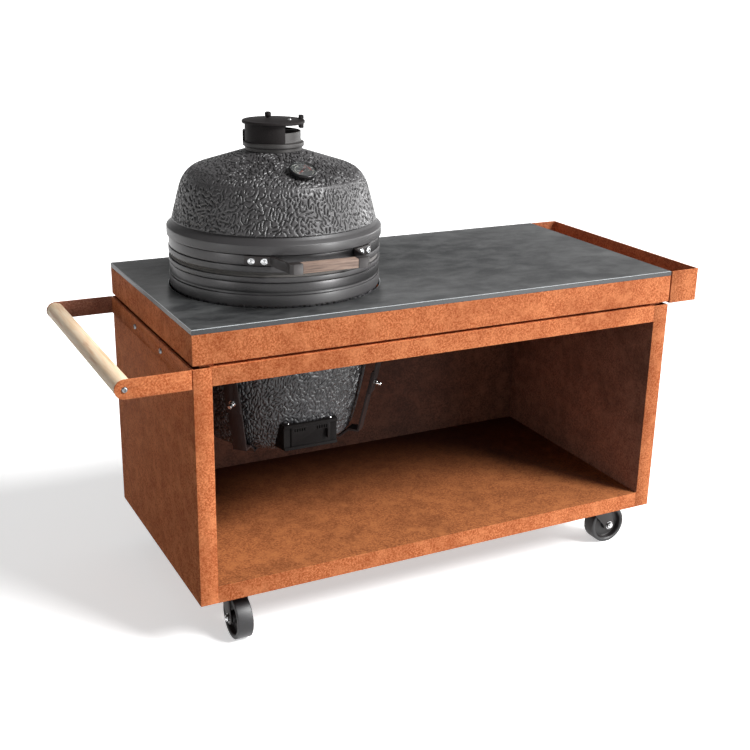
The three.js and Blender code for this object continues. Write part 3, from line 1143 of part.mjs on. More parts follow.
function makeDraftDoor() {
  const middle = draftMiddle;
  const z = [middle - DRAFT_PLATE_HEIGHT / 2, middle + DRAFT_PLATE_HEIGHT / 2];
  const half = DRAFT_PLATE_WIDTH / 2;
  const front = -bowlReach(z[1]) - DRAFT_STANDOFF;
  const inside = front + DRAFT_SHEET;
  const back = front + DRAFT_DEPTH;
  const body = outline([
    [-half, front + DRAFT_RAIL],
    [half, front + DRAFT_RAIL],
    [half + DRAFT_FLARE, back],
    [-half - DRAFT_FLARE, back],
  ]);
  const shell = pushed(body, "z", z[0], z[1]);
  const hollow = block([-half + DRAFT_SHEET, half - DRAFT_SHEET],
    [front + DRAFT_RAIL + DRAFT_SHEET, back + OVERRUN],
    [z[0] + DRAFT_SHEET, z[1] - DRAFT_SHEET]);
  const windowCut = block([-DRAFT_HOLE_WIDTH / 2, DRAFT_HOLE_WIDTH / 2],
    [front - OVERRUN, back + OVERRUN],
    [middle - DRAFT_HOLE_HEIGHT / 2, middle + DRAFT_HOLE_HEIGHT / 2]);
  const rails = [z[0], z[1] - DRAFT_RAIL].map((bottom) =>
    block([-half, half], [front, front + DRAFT_RAIL + DRAFT_SHEET / 2],
      [bottom, bottom + DRAFT_RAIL]));
  const lips = [z[0] + DRAFT_RAIL / 2, z[1] - DRAFT_RAIL * 3 / 2].map((bottom) =>
    block([-half, half], [front, front + DRAFT_SHEET / 2], [bottom, bottom + DRAFT_RAIL]));
  const housing = combine(shell, [...rails, ...lips], [hollow, windowCut, bowlSpace()]);
  piece("draft_housing", housing, blackSteelFinish, kamado);

  const doorZ = [z[0] + DRAFT_RAIL + FIT_GAP, z[1] - DRAFT_RAIL - FIT_GAP];
  const doorY = [inside - DRAFT_SHEET / 2 + FIT_GAP, front + DRAFT_RAIL - FIT_GAP];
  const doorHalf = DRAFT_HOLE_WIDTH / 2 + DRAFT_RAIL;
  const door = block([-doorHalf, doorHalf], doorY, doorZ);
  const slots = [];
  for (const groupX of [-DRAFT_SLOT_GROUP_OFFSET, DRAFT_SLOT_GROUP_OFFSET]) {
    for (let i = 0; i < DRAFT_SLOT_COUNT; i += 1) {
      const x = groupX + (i - (DRAFT_SLOT_COUNT - 1) / 2) * DRAFT_SLOT_PITCH;
      slots.push(block([x - DRAFT_SLOT_WIDTH / 2, x + DRAFT_SLOT_WIDTH / 2],
        [doorY[0] - OVERRUN, doorY[1] + OVERRUN],
        [middle + DRAFT_SLOT_RISE, middle + DRAFT_SLOT_RISE + DRAFT_SLOT_HEIGHT]));
    }
  }
  const tab = block([doorHalf - DRAFT_TAB_WIDTH, doorHalf - DRAFT_TAB_WIDTH + DRAFT_SHEET],
    [front - DRAFT_TAB_HEIGHT, doorY[0] + DRAFT_SHEET / 4],
    [middle - DRAFT_TAB_WIDTH, middle + DRAFT_TAB_WIDTH]);
  piece("draft_door", combine(door, [tab], slots), blackSteelFinish, kamado);
}

// How far the bowl's side stands out at a height: its quadratic curve is solved for the share
// of the way along it.
function bowlReach(height) {
  const heel = bowlBottom + BOWL_HEEL_RISE;
  const rise = footLipBottom - bowlWaistDrop - heel;
  const bend = footLipBottom - heel - rise - rise;
  const share = (Math.sqrt(rise ** 2 + bend * (height - heel)) - rise) / bend;
  const rest = 1 - share;
  return rest ** 2 * bowlHeelRadius + 2 * share * rest * bowlWaistRadius
    + share ** 2 * ceramicRadius;
}

// The space that the outside of the bowl fills, with a fitting gap round it.
function bowlSpace() {
  const bowl = new THREE.Path();
  const heel = bowlBottom + BOWL_HEEL_RISE;
  bowl.moveTo(0, bowlBottom - FIT_GAP);
  bowl.lineTo(bowlFloorRadius + FIT_GAP, bowlBottom - FIT_GAP);
  bowl.quadraticCurveTo(bowlHeelCornerRadius + FIT_GAP, bowlBottom - FIT_GAP,
    bowlHeelRadius + FIT_GAP, heel);
  bowl.quadraticCurveTo(bowlWaistRadius + FIT_GAP, footLipBottom - bowlWaistDrop,
    ceramicRadius + FIT_GAP, footLipBottom);
  bowl.lineTo(0, footLipBottom);
  return turned(pathPoints(bowl));
}

// Cradle: hangers from the carrier plate, and J-shaped feet bolted to them under the bowl

// Both bars lean outwards as they rise. The foot's bar turns in at its corner, then cranks down
// past the bowl's heel to lie flat under its floor.
function makeCradle() {
  const hookTop = apronTop - SHEET - HANGER_PLATE;
  const jointZ = bowlBottom + (slabTop - bowlBottom) * STRAP_JOINT_RISE_SHARE;
  const lapTop = jointZ + STRAP_LAP;
  const lapBottom = jointZ - STRAP_LAP;
  const lean = Math.atan(STRAP_LEAN_SHARE);
  const levelSheet = STRAP_SHEET / Math.cos(lean);
  const hangerInner = (z) => strapJointRadius + (z - jointZ) * STRAP_LEAN_SHARE;
  const footInner = (z) => hangerInner(z) - FIT_GAP - levelSheet;
  const footTop = bowlBottom - FIT_GAP;
  const footBottom = footTop - STRAP_SHEET;
  const cornerTop = bowlBottom + STRAP_CORNER_RISE;
  const cornerBottom = cornerTop - STRAP_SHEET;
  const crankEnd = strapCrankRadius - STRAP_CRANK_RUN;
  const crankShift = STRAP_SHEET * Math.tan(Math.atan2(cornerTop - footTop, STRAP_CRANK_RUN) / 2);
  for (let i = 0; i < CRADLE_COUNT; i += 1) {
    const angle = Math.PI / 4 + i * Math.PI * 2 / CRADLE_COUNT;
    const name = ["rear_right", "rear_left", "front_left", "front_right"][i];
    const hanger = outline([
      [hangerInner(hookTop) + STRAP_HOOK, hookTop],
      [hangerInner(hookTop), hookTop],
      [hangerInner(lapBottom), lapBottom],
      [hangerInner(lapBottom) + levelSheet, lapBottom],
      [hangerInner(hookTop - STRAP_SHEET) + levelSheet, hookTop - STRAP_SHEET],
      [hangerInner(hookTop) + STRAP_HOOK, hookTop - STRAP_SHEET],
    ]);
    const foot = outline([
      [footInner(lapTop), lapTop],
      [footInner(cornerTop), cornerTop],
      [strapCrankRadius, cornerTop],
      [crankEnd, footTop],
      [strapFootEndRadius, footTop],
      [strapFootEndRadius, footBottom],
      [crankEnd + crankShift, footBottom],
      [strapCrankRadius + crankShift, cornerBottom],
      [footInner(cornerBottom) + levelSheet, cornerBottom],
      [footInner(lapTop) + levelSheet, lapTop],
    ]);
    const squareTo = (geometry) => {
      geometry.rotateY(lean);
      geometry.translate(strapJointRadius, 0, jointZ);
      return geometry;
    };
    const across = [-STRAP_WIDTH / 2, STRAP_WIDTH / 2];
    const nutEnd = STRAP_SHEET + CRADLE_BOLT_NUT;
    const bolt = squareTo(rod("x", CRADLE_BOLT_RADIUS, -STRAP_SHEET / 2,
      nutEnd + CRADLE_BOLT_END, [0, 0], BOLT_STEPS));
    const nut = squareTo(rod("x", CRADLE_BOLT_NUT_RADIUS, STRAP_SHEET + FIT_GAP, nutEnd, [0, 0],
      BOLT_STEPS));
    const bore = squareTo(rod("x", CRADLE_BOLT_RADIUS + FIT_GAP, -STRAP_SHEET - OVERRUN,
      STRAP_SHEET + OVERRUN, [0, 0], BOLT_STEPS));
    const upper = combine(pushed(hanger, "y", across[0], across[1]), [], [bore]);
    const lower = combine(pushed(foot, "y", across[0], across[1]), [bolt, nut], []);
    for (const [part, geometry] of [["hanger", upper], ["foot", lower]]) {
      geometry.rotateZ(angle);
      piece(`cradle_${part}_${name}`, geometry, blackSteelFinish, kamado);
    }
  }
}

makeCabinet();
makeTopUnit();
makeTray();
makePushBar();
makeCasters();
makeCeramics();
makeBandsAndHinge();
makeLidHandle();
makeThermometer();
makeFlue();
makeInnerParts();
makeDraftDoor();
makeCradle();

// The origin is on the floor, under the middle of the whole table's footprint.
const bounds = new THREE.Box3().setFromObject(table);
table.position.set(
  -(bounds.min.x + bounds.max.x) / 2,
  -(bounds.min.y + bounds.max.y) / 2,
  -bounds.min.z,
);

const grillTable = new THREE.Group();
grillTable.add(table);

export default grillTable;
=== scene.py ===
"""Looks of the kamado grill table: weathering steel, honed stone, glazed ceramic, cast iron and wood.

Values are in millimetres and become metres in the meshes. Surfaces are grids of points worked out
with numpy, or copies of the frame's flat-sided pieces with eased edges.
"""

import json
import math
from contextlib import contextmanager

import bmesh
import bpy
import numpy as np
from mathutils import Matrix, Vector


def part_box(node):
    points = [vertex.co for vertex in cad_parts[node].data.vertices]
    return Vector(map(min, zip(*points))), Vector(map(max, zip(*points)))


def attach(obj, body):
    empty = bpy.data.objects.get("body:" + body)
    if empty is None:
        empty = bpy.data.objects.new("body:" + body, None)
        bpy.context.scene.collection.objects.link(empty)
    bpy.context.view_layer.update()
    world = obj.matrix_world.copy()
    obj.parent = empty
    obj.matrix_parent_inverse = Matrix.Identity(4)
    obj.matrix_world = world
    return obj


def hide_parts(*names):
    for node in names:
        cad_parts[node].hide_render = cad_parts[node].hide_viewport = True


MM = 0.001
MERGE = 1e-5
TAU = math.tau
UP = (0, 0, 1)
CREASE = math.radians(30)
FLAT_ANGLE = math.radians(0.5)
SHEET_EASE = 0.8
EASE_SHARE = 0.45

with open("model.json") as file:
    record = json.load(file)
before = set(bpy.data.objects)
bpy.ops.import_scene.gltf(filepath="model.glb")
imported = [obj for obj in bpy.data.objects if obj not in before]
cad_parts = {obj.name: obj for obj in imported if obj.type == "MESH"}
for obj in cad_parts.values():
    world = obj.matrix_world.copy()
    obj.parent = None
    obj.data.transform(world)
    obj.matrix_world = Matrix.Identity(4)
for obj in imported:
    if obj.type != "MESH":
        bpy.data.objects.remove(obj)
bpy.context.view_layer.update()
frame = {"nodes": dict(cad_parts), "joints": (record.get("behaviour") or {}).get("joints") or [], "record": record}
BODIES = frame["record"]["behaviour"]["bodies"]
BODY_OF = {node: body for body, nodes in BODIES.items() for node in nodes}


def box_of(node):
    """A node's lowest and highest corners, as arrays in metres."""
    return tuple(np.array(corner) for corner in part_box(node))


def middle_of(node):
    """The middle of a node's box, as an array in metres."""
    low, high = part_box(node)
    return np.array((low + high) / 2)


def on_axis(height):
    """The point of the kamado's upright axis at a height in metres."""
    return np.array([*middle_of("dome")[:2], height])


# ---------------------------------------------------------------- camera

# The solved viewpoint: turned right of straight ahead, tipped down, and rolled a little.
CAMERA_PLACE = Vector((-1.3932, -2.6904, 1.5926))
CAMERA_YAW = math.radians(27.32)
CAMERA_PITCH = math.radians(19.355)
CAMERA_ROLL = math.radians(1.092)
CAMERA_LENS = 55.89
CAMERA_SENSOR = 36


def place_camera():
    """Sets the camera from its yaw, pitch and roll."""
    flat = math.cos(CAMERA_PITCH)
    ahead = Vector((math.sin(CAMERA_YAW) * flat, math.cos(CAMERA_YAW) * flat, -math.sin(CAMERA_PITCH)))
    level = Vector((math.cos(CAMERA_YAW), -math.sin(CAMERA_YAW), 0))
    upright = level.cross(ahead)
    right = math.cos(CAMERA_ROLL) * level + math.sin(CAMERA_ROLL) * upright
    up = math.cos(CAMERA_ROLL) * upright - math.sin(CAMERA_ROLL) * level
    data = bpy.data.cameras.new("camera")
    data.lens = CAMERA_LENS
    data.sensor_width = CAMERA_SENSOR
    camera = bpy.data.objects.new("camera", data)
    camera.matrix_world = Matrix.Translation(CAMERA_PLACE) @ Matrix((right, up, -ahead)).transposed().to_4x4()
    bpy.context.scene.collection.objects.link(camera)
    bpy.context.scene.camera = camera


place_camera()


# ---------------------------------------------------------------- materials

def linear(colour):
    """An sRGB hex colour as linear red, green, blue and a full alpha."""
    raw = np.array([int(colour[i:i + 2], 16) for i in (1, 3, 5)]) / 255
    curve = np.where(raw <= 0.04045, raw / 12.92, ((raw + 0.055) / 1.055) ** 2.4)
    return (*(float(x) for x in curve), 1.0)


def add(tree, kind, values=None, links=None, **settings):
    """Adds one shader node: settings are its properties, values fill its sockets, links join them."""
    made = tree.nodes.new(f"ShaderNode{kind}")
    for name, value in settings.items():
        setattr(made, name, value)
    for socket, value in (values or {}).items():
        made.inputs[socket].default_value = value
    for socket, output in (links or {}).items():
        tree.links.new(output, made.inputs[socket])
    return made


def start(name, colour, roughness, metallic=0.0, **sockets):
    """A new material with its Principled shader set, and its tree, shader and Object coordinates."""
    material = bpy.data.materials.new(name)
    material.use_nodes = True
    tree = material.node_tree
    shader = tree.nodes["Principled BSDF"]
    sockets = {"Base Color": linear(colour), "Roughness": roughness, "Metallic": metallic, **sockets}
    for socket, value in sockets.items():
        shader.inputs[socket.replace("_", " ")].default_value = value
    return material, tree, shader, add(tree, "TexCoord").outputs["Object"]


def per_mm(size):
    """The scale of a noise texture whose features are about this many millimetres. Real rust
    grains, stone grit, casting grain, wood pores and felt fibres are under a millimetre wide, too
    fine to show in the render, so each is drawn a few millimetres wide."""
    return 1 / (size * MM)


def mottled(tree, place, under, over, size, span=None, share=1.0, **noise):
    """One colour over another where a noise is high. The upper colour comes up to its share over a
    span of the noise. Each colour is a hex value or an output. Gives the mix and the noise."""
    scale = {"Scale": per_mm(size), **{word.title(): value for word, value in noise.items()}}
    amount = field = add(tree, "TexNoise", scale, {"Vector": place}).outputs["Fac"]
    if span:
        limits = {"From Min": span[0], "From Max": span[1], "To Max": share}
        amount = add(tree, "MapRange", limits, {"Value": field}).outputs[0]
    values, links = {}, {"Factor": amount}
    for socket, colour in ((6, under), (7, over)):
        if isinstance(colour, str):
            values[socket] = linear(colour)
        else:
            links[socket] = colour
    return add(tree, "Mix", values, links, data_type="RGBA").outputs[2], field


def finish(tree, shader, colour, height, strength, depth_mm, grain=None, gloss=(0.0, 1.0)):
    """Joins a material's colour and relief to its shader, and a grain that varies its gloss."""
    tree.links.new(colour, shader.inputs["Base Color"])
    bump = add(tree, "Bump", {"Strength": strength, "Distance": depth_mm * MM}, {"Height": height})
    tree.links.new(bump.outputs["Normal"], shader.inputs["Normal"])
    if grain:
        rough = add(tree, "MapRange", {"To Min": gloss[0], "To Max": gloss[1]}, {"Value": grain})
        tree.links.new(rough.outputs[0], shader.inputs["Roughness"])


def weathering_steel(name, light, middle, dark, patch_share, fade=None):
    """Hot-rolled weathering steel, blasted and left to rust: a fine grain of pale and deep orange
    oxide, with soft browner patches a hand wide where water stood, and pale blooms between. A fade
    gives the two depths, in metres, between which the rust is mixed towards its dark tone: painted
    shade, darker towards the back."""
    material, tree, shader, place = start(name, middle, 0.82, Specular_IOR_Level=0.12)
    colour, grain = mottled(tree, place, middle, light, 5, (0.4, 0.62), detail=3, roughness=0.8)
    colour, _ = mottled(tree, place, colour, dark, 130, (0.42, 0.66), patch_share,
                        detail=4, roughness=0.65, distortion=0.4)
    colour, _ = mottled(tree, place, colour, light, 42, (0.48, 0.7), 0.6, detail=3, roughness=0.6)
    # Painted shade: the rust is mixed darker towards the back, between the fade's two depths.
    if fade:
        depth = add(tree, "SeparateXYZ", links={"Vector": place}).outputs["Y"]
        limits = {"From Min": fade[0], "From Max": fade[1], "To Max": 0.85}
        reach = add(tree, "MapRange", limits, {"Value": depth}).outputs[0]
        shaded_back = add(tree, "Mix", {7: linear(dark)}, {"Factor": reach, 6: colour}, data_type="RGBA")
        colour = shaded_back.outputs[2]
    pits = add(tree, "TexNoise", {"Scale": per_mm(2.5), "Detail": 3}, {"Vector": place}).outputs["Fac"]
    finish(tree, shader, colour, pits, 0.35, 0.4, grain, (0.72, 0.92))
    return material


def honed_stone():
    """Sintered composite stone, honed: an anthracite ground with faint paler clouds and fine grit."""
    material, tree, shader, place = start("honed_composite_stone", "#3d3e3f", 0.4)
    stretched = add(tree, "Mapping", {"Scale": (0.8, 1.25, 1.0)}, {"Vector": place}).outputs[0]
    colour, _ = mottled(tree, stretched, "#2e2f30", "#565757", 75, (0.4, 0.66),
                        detail=8, roughness=0.7, distortion=0.25)
    colour, grit = mottled(tree, place, colour, "#717272", 3, (0.55, 0.75), 0.3, detail=3, roughness=0.7)
    finish(tree, shader, colour, grit, 0.2, 0.2)
    return material


def cut_stone(name, dark, light, roughness, grit_mm, detail, specular):
    """The slab's stone where a saw and a pad cut it: fine grit between two tones, with a satin
    shine. The arris is polished, and its pale tone is a painted highlight along the edge; the
    ground edge is near black."""
    material, tree, shader, place = start(name, dark, roughness, Specular_IOR_Level=specular)
    colour, _ = mottled(tree, place, dark, light, grit_mm, detail=detail)
    tree.links.new(colour, shader.inputs["Base Color"])
    return material


def kamado_glaze(name, ridge_colour, mottle_colour, gloss, pool_and_shade_colour=None):
    """Glazed stoneware: a charcoal glaze, glossy where it is thick. The kind with a groove colour
    reads from the mesh how high each point stands, and goes near black in the grooves: partly
    where the glaze pools, partly painted shade."""
    material, tree, shader, place = start(name, ridge_colour, 0.36, Coat_Weight=0.15, Coat_Roughness=0.25)
    colour, _ = mottled(tree, place, ridge_colour, mottle_colour, 60, detail=3)
    # The grooves' near-black colour is partly pooled glaze and partly painted shade.
    if pool_and_shade_colour:
        height = add(tree, "Attribute", attribute_name="ridge").outputs["Fac"]
        thin = add(tree, "MapRange", {"From Min": 0.25, "From Max": 0.95}, {"Value": height}).outputs[0]
        pooled_and_shaded = add(tree, "Mix", {6: linear(pool_and_shade_colour)}, {"Factor": thin, 7: colour}, data_type="RGBA")
        colour = pooled_and_shaded.outputs[2]
    speck = add(tree, "TexNoise", {"Scale": per_mm(4), "Detail": 3}, {"Vector": place}).outputs["Fac"]
    finish(tree, shader, colour, speck, 0.12, 0.3, speck, gloss)
    return material


def coated_metal(name, light, dark, roughness, metallic, grain_mm, depth_mm, **sockets):
    """A coated or cast surface: one colour, broken by fine grain in its tone, height and gloss."""
    material, tree, shader, place = start(name, light, roughness, metallic, **sockets)
    colour, grain = mottled(tree, place, dark, light, grain_mm, (0.3, 0.7), detail=4, roughness=0.65)
    finish(tree, shader, colour, grain, 0.3, depth_mm, grain, (roughness - 0.08, roughness + 0.08))
    return material


def wood(name, light, dark, streak, along, grain_mm, roughness):
    """Sanded hardwood: long pale and dark streaks that run with the grain, and a few deeper lines."""
    material, tree, shader, place = start(name, light, roughness)
    squeeze = tuple(0.06 if axis == along else 1.0 for axis in "xyz")
    stretched = add(tree, "Mapping", {"Scale": squeeze}, {"Vector": place}).outputs[0]
    colour, grain = mottled(tree, stretched, light, dark, grain_mm, (0.35, 0.68),
                            detail=5, roughness=0.6, distortion=0.3)
    colour, _ = mottled(tree, stretched, colour, streak, grain_mm * 2.4, (0.58, 0.7), 0.6,
                        detail=2, distortion=0.5)
    finish(tree, shader, colour, grain, 0.3, 0.25)
    return material


def felt(name, light, dark):
    """Pressed felt: a soft matt surface of tangled fibres."""
    material, tree, shader, place = start(name, light, 0.95, Sheen_Weight=0.3)
    colour, fibre = mottled(tree, place, dark, light, 1.8, detail=5, distortion=1.5)
    finish(tree, shader, colour, fibre, 0.6, 0.5)
    return material


def clear_glass():
    """Float glass: clear, smooth, with a faint cool tint."""
    material, tree, shader, place = start("float_glass", "#f4f8f8", 0.03, Transmission_Weight=1.0, IOR=1.5)
    smear = add(tree, "TexNoise", {"Scale": per_mm(12), "Detail": 2}, {"Vector": place}).outputs["Fac"]
    rough = add(tree, "MapRange", {"To Min": 0.02, "To Max": 0.1}, {"Value": smear})
    tree.links.new(rough.outputs[0], shader.inputs["Roughness"])
    return material


# The shelf's rust darkens from a quarter of its depth to the back: painted shade.
SHELF_FRONT, SHELF_BACK = (corner[1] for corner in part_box("cabinet_base"))
SHELF_SHADE_SPAN = (0.75 * SHELF_FRONT + 0.25 * SHELF_BACK, SHELF_BACK)
RUST = weathering_steel("rusted_weathering_steel", "#e08d5c", "#a9532a", "#8f431f", 0.45)
# The shelf, trough, inner wall and back sheet rusts are darker, duller copies of the rust, toned to the shade
# inside the cabinet and the trough: painted shade.
RUST_SHELF = weathering_steel("shelf_rust_and_shade", "#ac6a3e", "#7a4325", "#4a2412", 0.3, SHELF_SHADE_SPAN)
RUST_TROUGH = weathering_steel("trough_rust_and_shade", "#c07a55", "#8f5236", "#734029", 0.35)
RUST_INNER_SHADE = weathering_steel("inner_wall_rust_and_shade", "#b8806a", "#875947", "#614033", 0.5)
RUST_BACK = weathering_steel("back_sheet_rust_and_shade", "#8c5d49", "#643f31", "#472b22", 0.5)
STONE = honed_stone()
# The pale arris is a painted highlight along the slab's edge.
ARRIS_HIGHLIGHT = cut_stone("arris_polish_and_highlight", "#9fa4a7", "#d2d6d8", 0.3, 4, 3, 0.5)
EDGE = cut_stone("ground_stone_edge", "#232425", "#3c3d3f", 0.4, 5, 4, 0.4)
GLAZE = kamado_glaze("smooth_charcoal_glaze", "#302e2f", "#393738", (0.42, 0.54))
# The groove colours, near black, are partly pooled glaze and partly painted shade.
RIDGED_GLAZE = kamado_glaze("ridged_charcoal_glaze", "#3b393a", "#454344", (0.34, 0.48), "#070606")
BOWL_GLAZE = kamado_glaze("glossy_charcoal_glaze", "#29282b", "#333235", (0.42, 0.56), "#080707")
ASH = wood("sanded_ash", "#ffe9cb", "#f4d0a6", "#d9a272", "y", 5, 0.55)
GREYED_OAK = wood("weathered_oak", "#a38a7b", "#715c51", "#41332c", "x", 3, 0.75)
FELT = felt("pressed_grey_felt", "#77736f", "#4e4b49")
GLASS = clear_glass()

# Each has a light and a dark tone, its roughness and metallic, and its grain's width and depth.
# Powder coat, rubber and cast iron are matt and uneven, and drawn, ground or plated steel shines.
BAND = coated_metal("satin_coated_band_steel", "#454444", "#3b3a3b", 0.36, 0.75, 3, 0.004)
CAST = coated_metal("matt_black_cast_iron", "#2a2626", "#1b1818", 0.62, 0.1, 2.5, 0.35,
                    Specular_IOR_Level=0.12)
CAST_WORN = coated_metal("bare_cast_iron_wall", "#3a3736", "#2b2928", 0.55, 0.3, 3, 0.2)
COATED = coated_metal("black_powder_coat", "#2b2524", "#1e1918", 0.5, 0.1, 2, 0.15)
DRAFT_COAT = coated_metal("stove_blacked_steel", "#14100f", "#0d0a0a", 0.6, 0.0, 2, 0.1,
                          Specular_IOR_Level=0.08)
STRAP_COAT = coated_metal("brown_black_strap_paint", "#2a1b19", "#1b1211", 0.6, 0.0, 3, 0.15,
                          Specular_IOR_Level=0.25)
CHROME = coated_metal("polished_stainless_steel", "#dedfe0", "#c9cacb", 0.22, 1.0, 8, 0.02)
ZINC = coated_metal("dulled_zinc_plating", "#8b8c8e", "#6c6d6f", 0.38, 1.0, 5, 0.03)
GRID_STEEL = coated_metal("brushed_stainless_rod", "#c2c3c4", "#9c9d9e", 0.3, 1.0, 3, 0.05)
RUBBER = coated_metal("solid_black_rubber", "#282729", "#1c1b1d", 0.42, 0.0, 2, 0.1)
WHEEL_CORE = coated_metal("moulded_nylon_core", "#1f1b1c", "#151213", 0.42, 0.0, 3, 0.1)
FIRECLAY = coated_metal("unglazed_fireclay", "#a89c8f", "#887c70", 0.92, 0.0, 2.5, 0.5)
DIAL_CASE = coated_metal("black_spun_steel", "#2c2b2c", "#1e1d1e", 0.3, 0.6, 5, 0.05)
DIAL_FACE = coated_metal("printed_dial_face", "#6d6c6c", "#5e5d5d", 0.35, 0.0, 3, 0.02)
DIAL_PRINT = coated_metal("pale_dial_print", "#efe9df", "#ddd6ca", 0.5, 0.0, 2, 0.01)
DIAL_HOT = coated_metal("red_dial_print", "#c0584a", "#a8473a", 0.5, 0.0, 2, 0.01)


# ---------------------------------------------------------------- meshes

@contextmanager
def reworked(mesh):
    """Opens a mesh for changes to its points and faces, and writes them back."""
    shape = bmesh.new()
    shape.from_mesh(mesh)
    yield shape
    shape.to_mesh(mesh)
    shape.free()


def lay(name, points, faces, material, body, stands_for=(), sharp=True, merge=False, outward=False):
    """A new piece from points in metres and four-sided faces, which rides on a body. Points that
    meet are merged where a surface closes on its axis, and faces can be turned outwards."""
    mesh = bpy.data.meshes.new(name)
    points = np.asarray(points, np.float32).reshape(-1, 3)
    faces = np.asarray(faces, np.int32).reshape(-1, 4)
    mesh.vertices.add(len(points))
    mesh.vertices.foreach_set("co", points.ravel())
    mesh.loops.add(faces.size)
    mesh.loops.foreach_set("vertex_index", faces.ravel())
    mesh.polygons.add(len(faces))
    mesh.polygons.foreach_set("loop_start", np.arange(0, faces.size, 4, dtype=np.int32))
    mesh.update(calc_edges=True)
    mesh.validate()
    if merge:
        with reworked(mesh) as shape:
            bmesh.ops.remove_doubles(shape, verts=shape.verts, dist=MERGE)
            bmesh.ops.dissolve_degenerate(shape, edges=shape.edges, dist=MERGE)
    mesh.shade_smooth()
    if sharp:
        mesh.set_sharp_from_angle(angle=CREASE)
    if outward:
        with reworked(mesh) as shape:
            bmesh.ops.recalc_face_normals(shape, faces=shape.faces)
    return settle(name, mesh, material, body, stands_for)


def settle(name, mesh, material, body, stands_for=()):
    """Gives a finished mesh its object, its material, its body and the nodes that it stands for."""
    piece = bpy.data.objects.new(name, mesh)
    mesh.materials.clear()
    for one in material if isinstance(material, list) else [material]:
        mesh.materials.append(one)
    bpy.context.scene.collection.objects.link(piece)
    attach(piece, body)
    if stands_for:
        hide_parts(*stands_for)
    return piece


def grid_faces(rows, columns, close_rows=True, close_columns=True):
    """The cells of a grid of rows by columns, as four corners each, going round where it closes."""
    i = np.arange(rows if close_rows else rows - 1)[:, None]
    j = np.arange(columns if close_columns else columns - 1)[None, :]
    below = i * columns
    above = (i + 1) % rows * columns
    right = (j + 1) % columns
    return np.stack([below + j, below + right, above + right, above + j], -1).reshape(-1, 4)


def pulled(first, corner, last, t):
    """Points at shares t of a quadratic curve from the first point to the last, which the corner
    pulls: the three are weighted by the square of 1 - t, twice t times 1 - t, and the square of t."""
    return (1 - t) ** 2 * first + 2 * t * (1 - t) * corner + t ** 2 * last


def eased(corners, reach, steps=3):
    """An outline whose corners become small curves: from a point set back by the reach, along a
    quadratic curve that the corner pulls, to the point as far past it."""
    corner = np.asarray(corners, float)
    back = np.roll(corner, 1, 0) - corner
    ahead = np.roll(corner, -1, 0) - corner
    back_length = np.linalg.norm(back, axis=1, keepdims=True)
    ahead_length = np.linalg.norm(ahead, axis=1, keepdims=True)
    cut = np.minimum(np.reshape(reach, (-1, 1)), EASE_SHARE * np.minimum(back_length, ahead_length))
    first = corner + back / back_length * cut
    last = corner + ahead / ahead_length * cut
    t = np.linspace(0, 1, steps + 1)[:, None]
    return pulled(first[:, None], corner[:, None], last[:, None], t).reshape(-1, 2)


def curve_points(first, corner, last, steps):
    """Points on a quadratic curve, without its first."""
    t = np.linspace(0, 1, steps + 1)[1:, None]
    return pulled(*(np.asarray(point, float) for point in (first, corner, last)), t)


def round_axis(rows, centre, steps, along=UP):
    """Rows of radius and height in millimetres carried round an axis through the centre: each
    point becomes radius times the turning direction plus height along the axis. A row whose third
    value is 1 is a hexagon: its radius is over the cosine of the angle from the nearest flat."""
    rows = np.array([(*row, 0)[:3] for row in rows], float)
    turn = np.arange(steps) / steps * TAU
    from_flat = (turn + TAU / 12) % (TAU / 6) - TAU / 12
    radius = rows[:, :1] * np.where(rows[:, 2:] > 0, math.cos(TAU / 12) / np.cos(from_flat), 1.0)
    axis = Vector(along).normalized()
    side = axis.orthogonal().normalized() if abs(axis.z) < 0.999 else Vector((1, 0, 0))
    ring = np.cos(turn)[:, None] * np.array(side) + np.sin(turn)[:, None] * np.array(axis.cross(side))
    return centre + MM * radius[..., None] * ring + MM * rows[:, 1, None, None] * np.array(axis)


def turned(name, rows, centre, material, body, stands_for=(), steps=96, along=UP, sharp=True):
    """A closed outline carried once round an axis, and merged where it touches the axis."""
    points = round_axis(rows, centre, steps, along)
    touches = min(row[0] for row in rows) < MERGE
    return lay(name, points, grid_faces(len(points), steps), material, body, stands_for, sharp, touches)


def billet(name, reach, width, levels, centre, material, body, angle=0, beside=0, round_to=1.0):
    """An upright block from one reach to another along an angle, as wide as given and some way to
    the side, between two levels. Its rims are eased: the outline is drawn in towards its middle
    at both ends, and each end is closed to a point in its middle."""
    (near, far), half = reach, width / 2
    outline = eased([[near, -half], [far, -half], [far, half], [near, half]], round_to) + [0, beside]
    middle = (outline.min(0) + outline.max(0)) / 2
    inset = 1 - SHEET_EASE / (outline.max(0) - middle)
    low, high = levels
    rows = [(low, 0.0), (low, inset), (low + SHEET_EASE, 1.0),
            (high - SHEET_EASE, 1.0), (high, inset), (high, 0.0)]
    shape = np.stack([middle + (outline - middle) * share for _, share in rows])
    cosine, sine = math.cos(math.radians(angle)), math.sin(math.radians(angle))
    along, across = np.array([cosine, sine, 0]), np.array([-sine, cosine, 0])
    height = np.array([level for level, _ in rows])[:, None, None]
    points = centre + MM * (shape[..., :1] * along + shape[..., 1:] * across + height * np.array(UP))
    faces = grid_faces(len(rows), len(outline), close_rows=False)
    lay(name, points, faces, material, body, merge=True, outward=True)


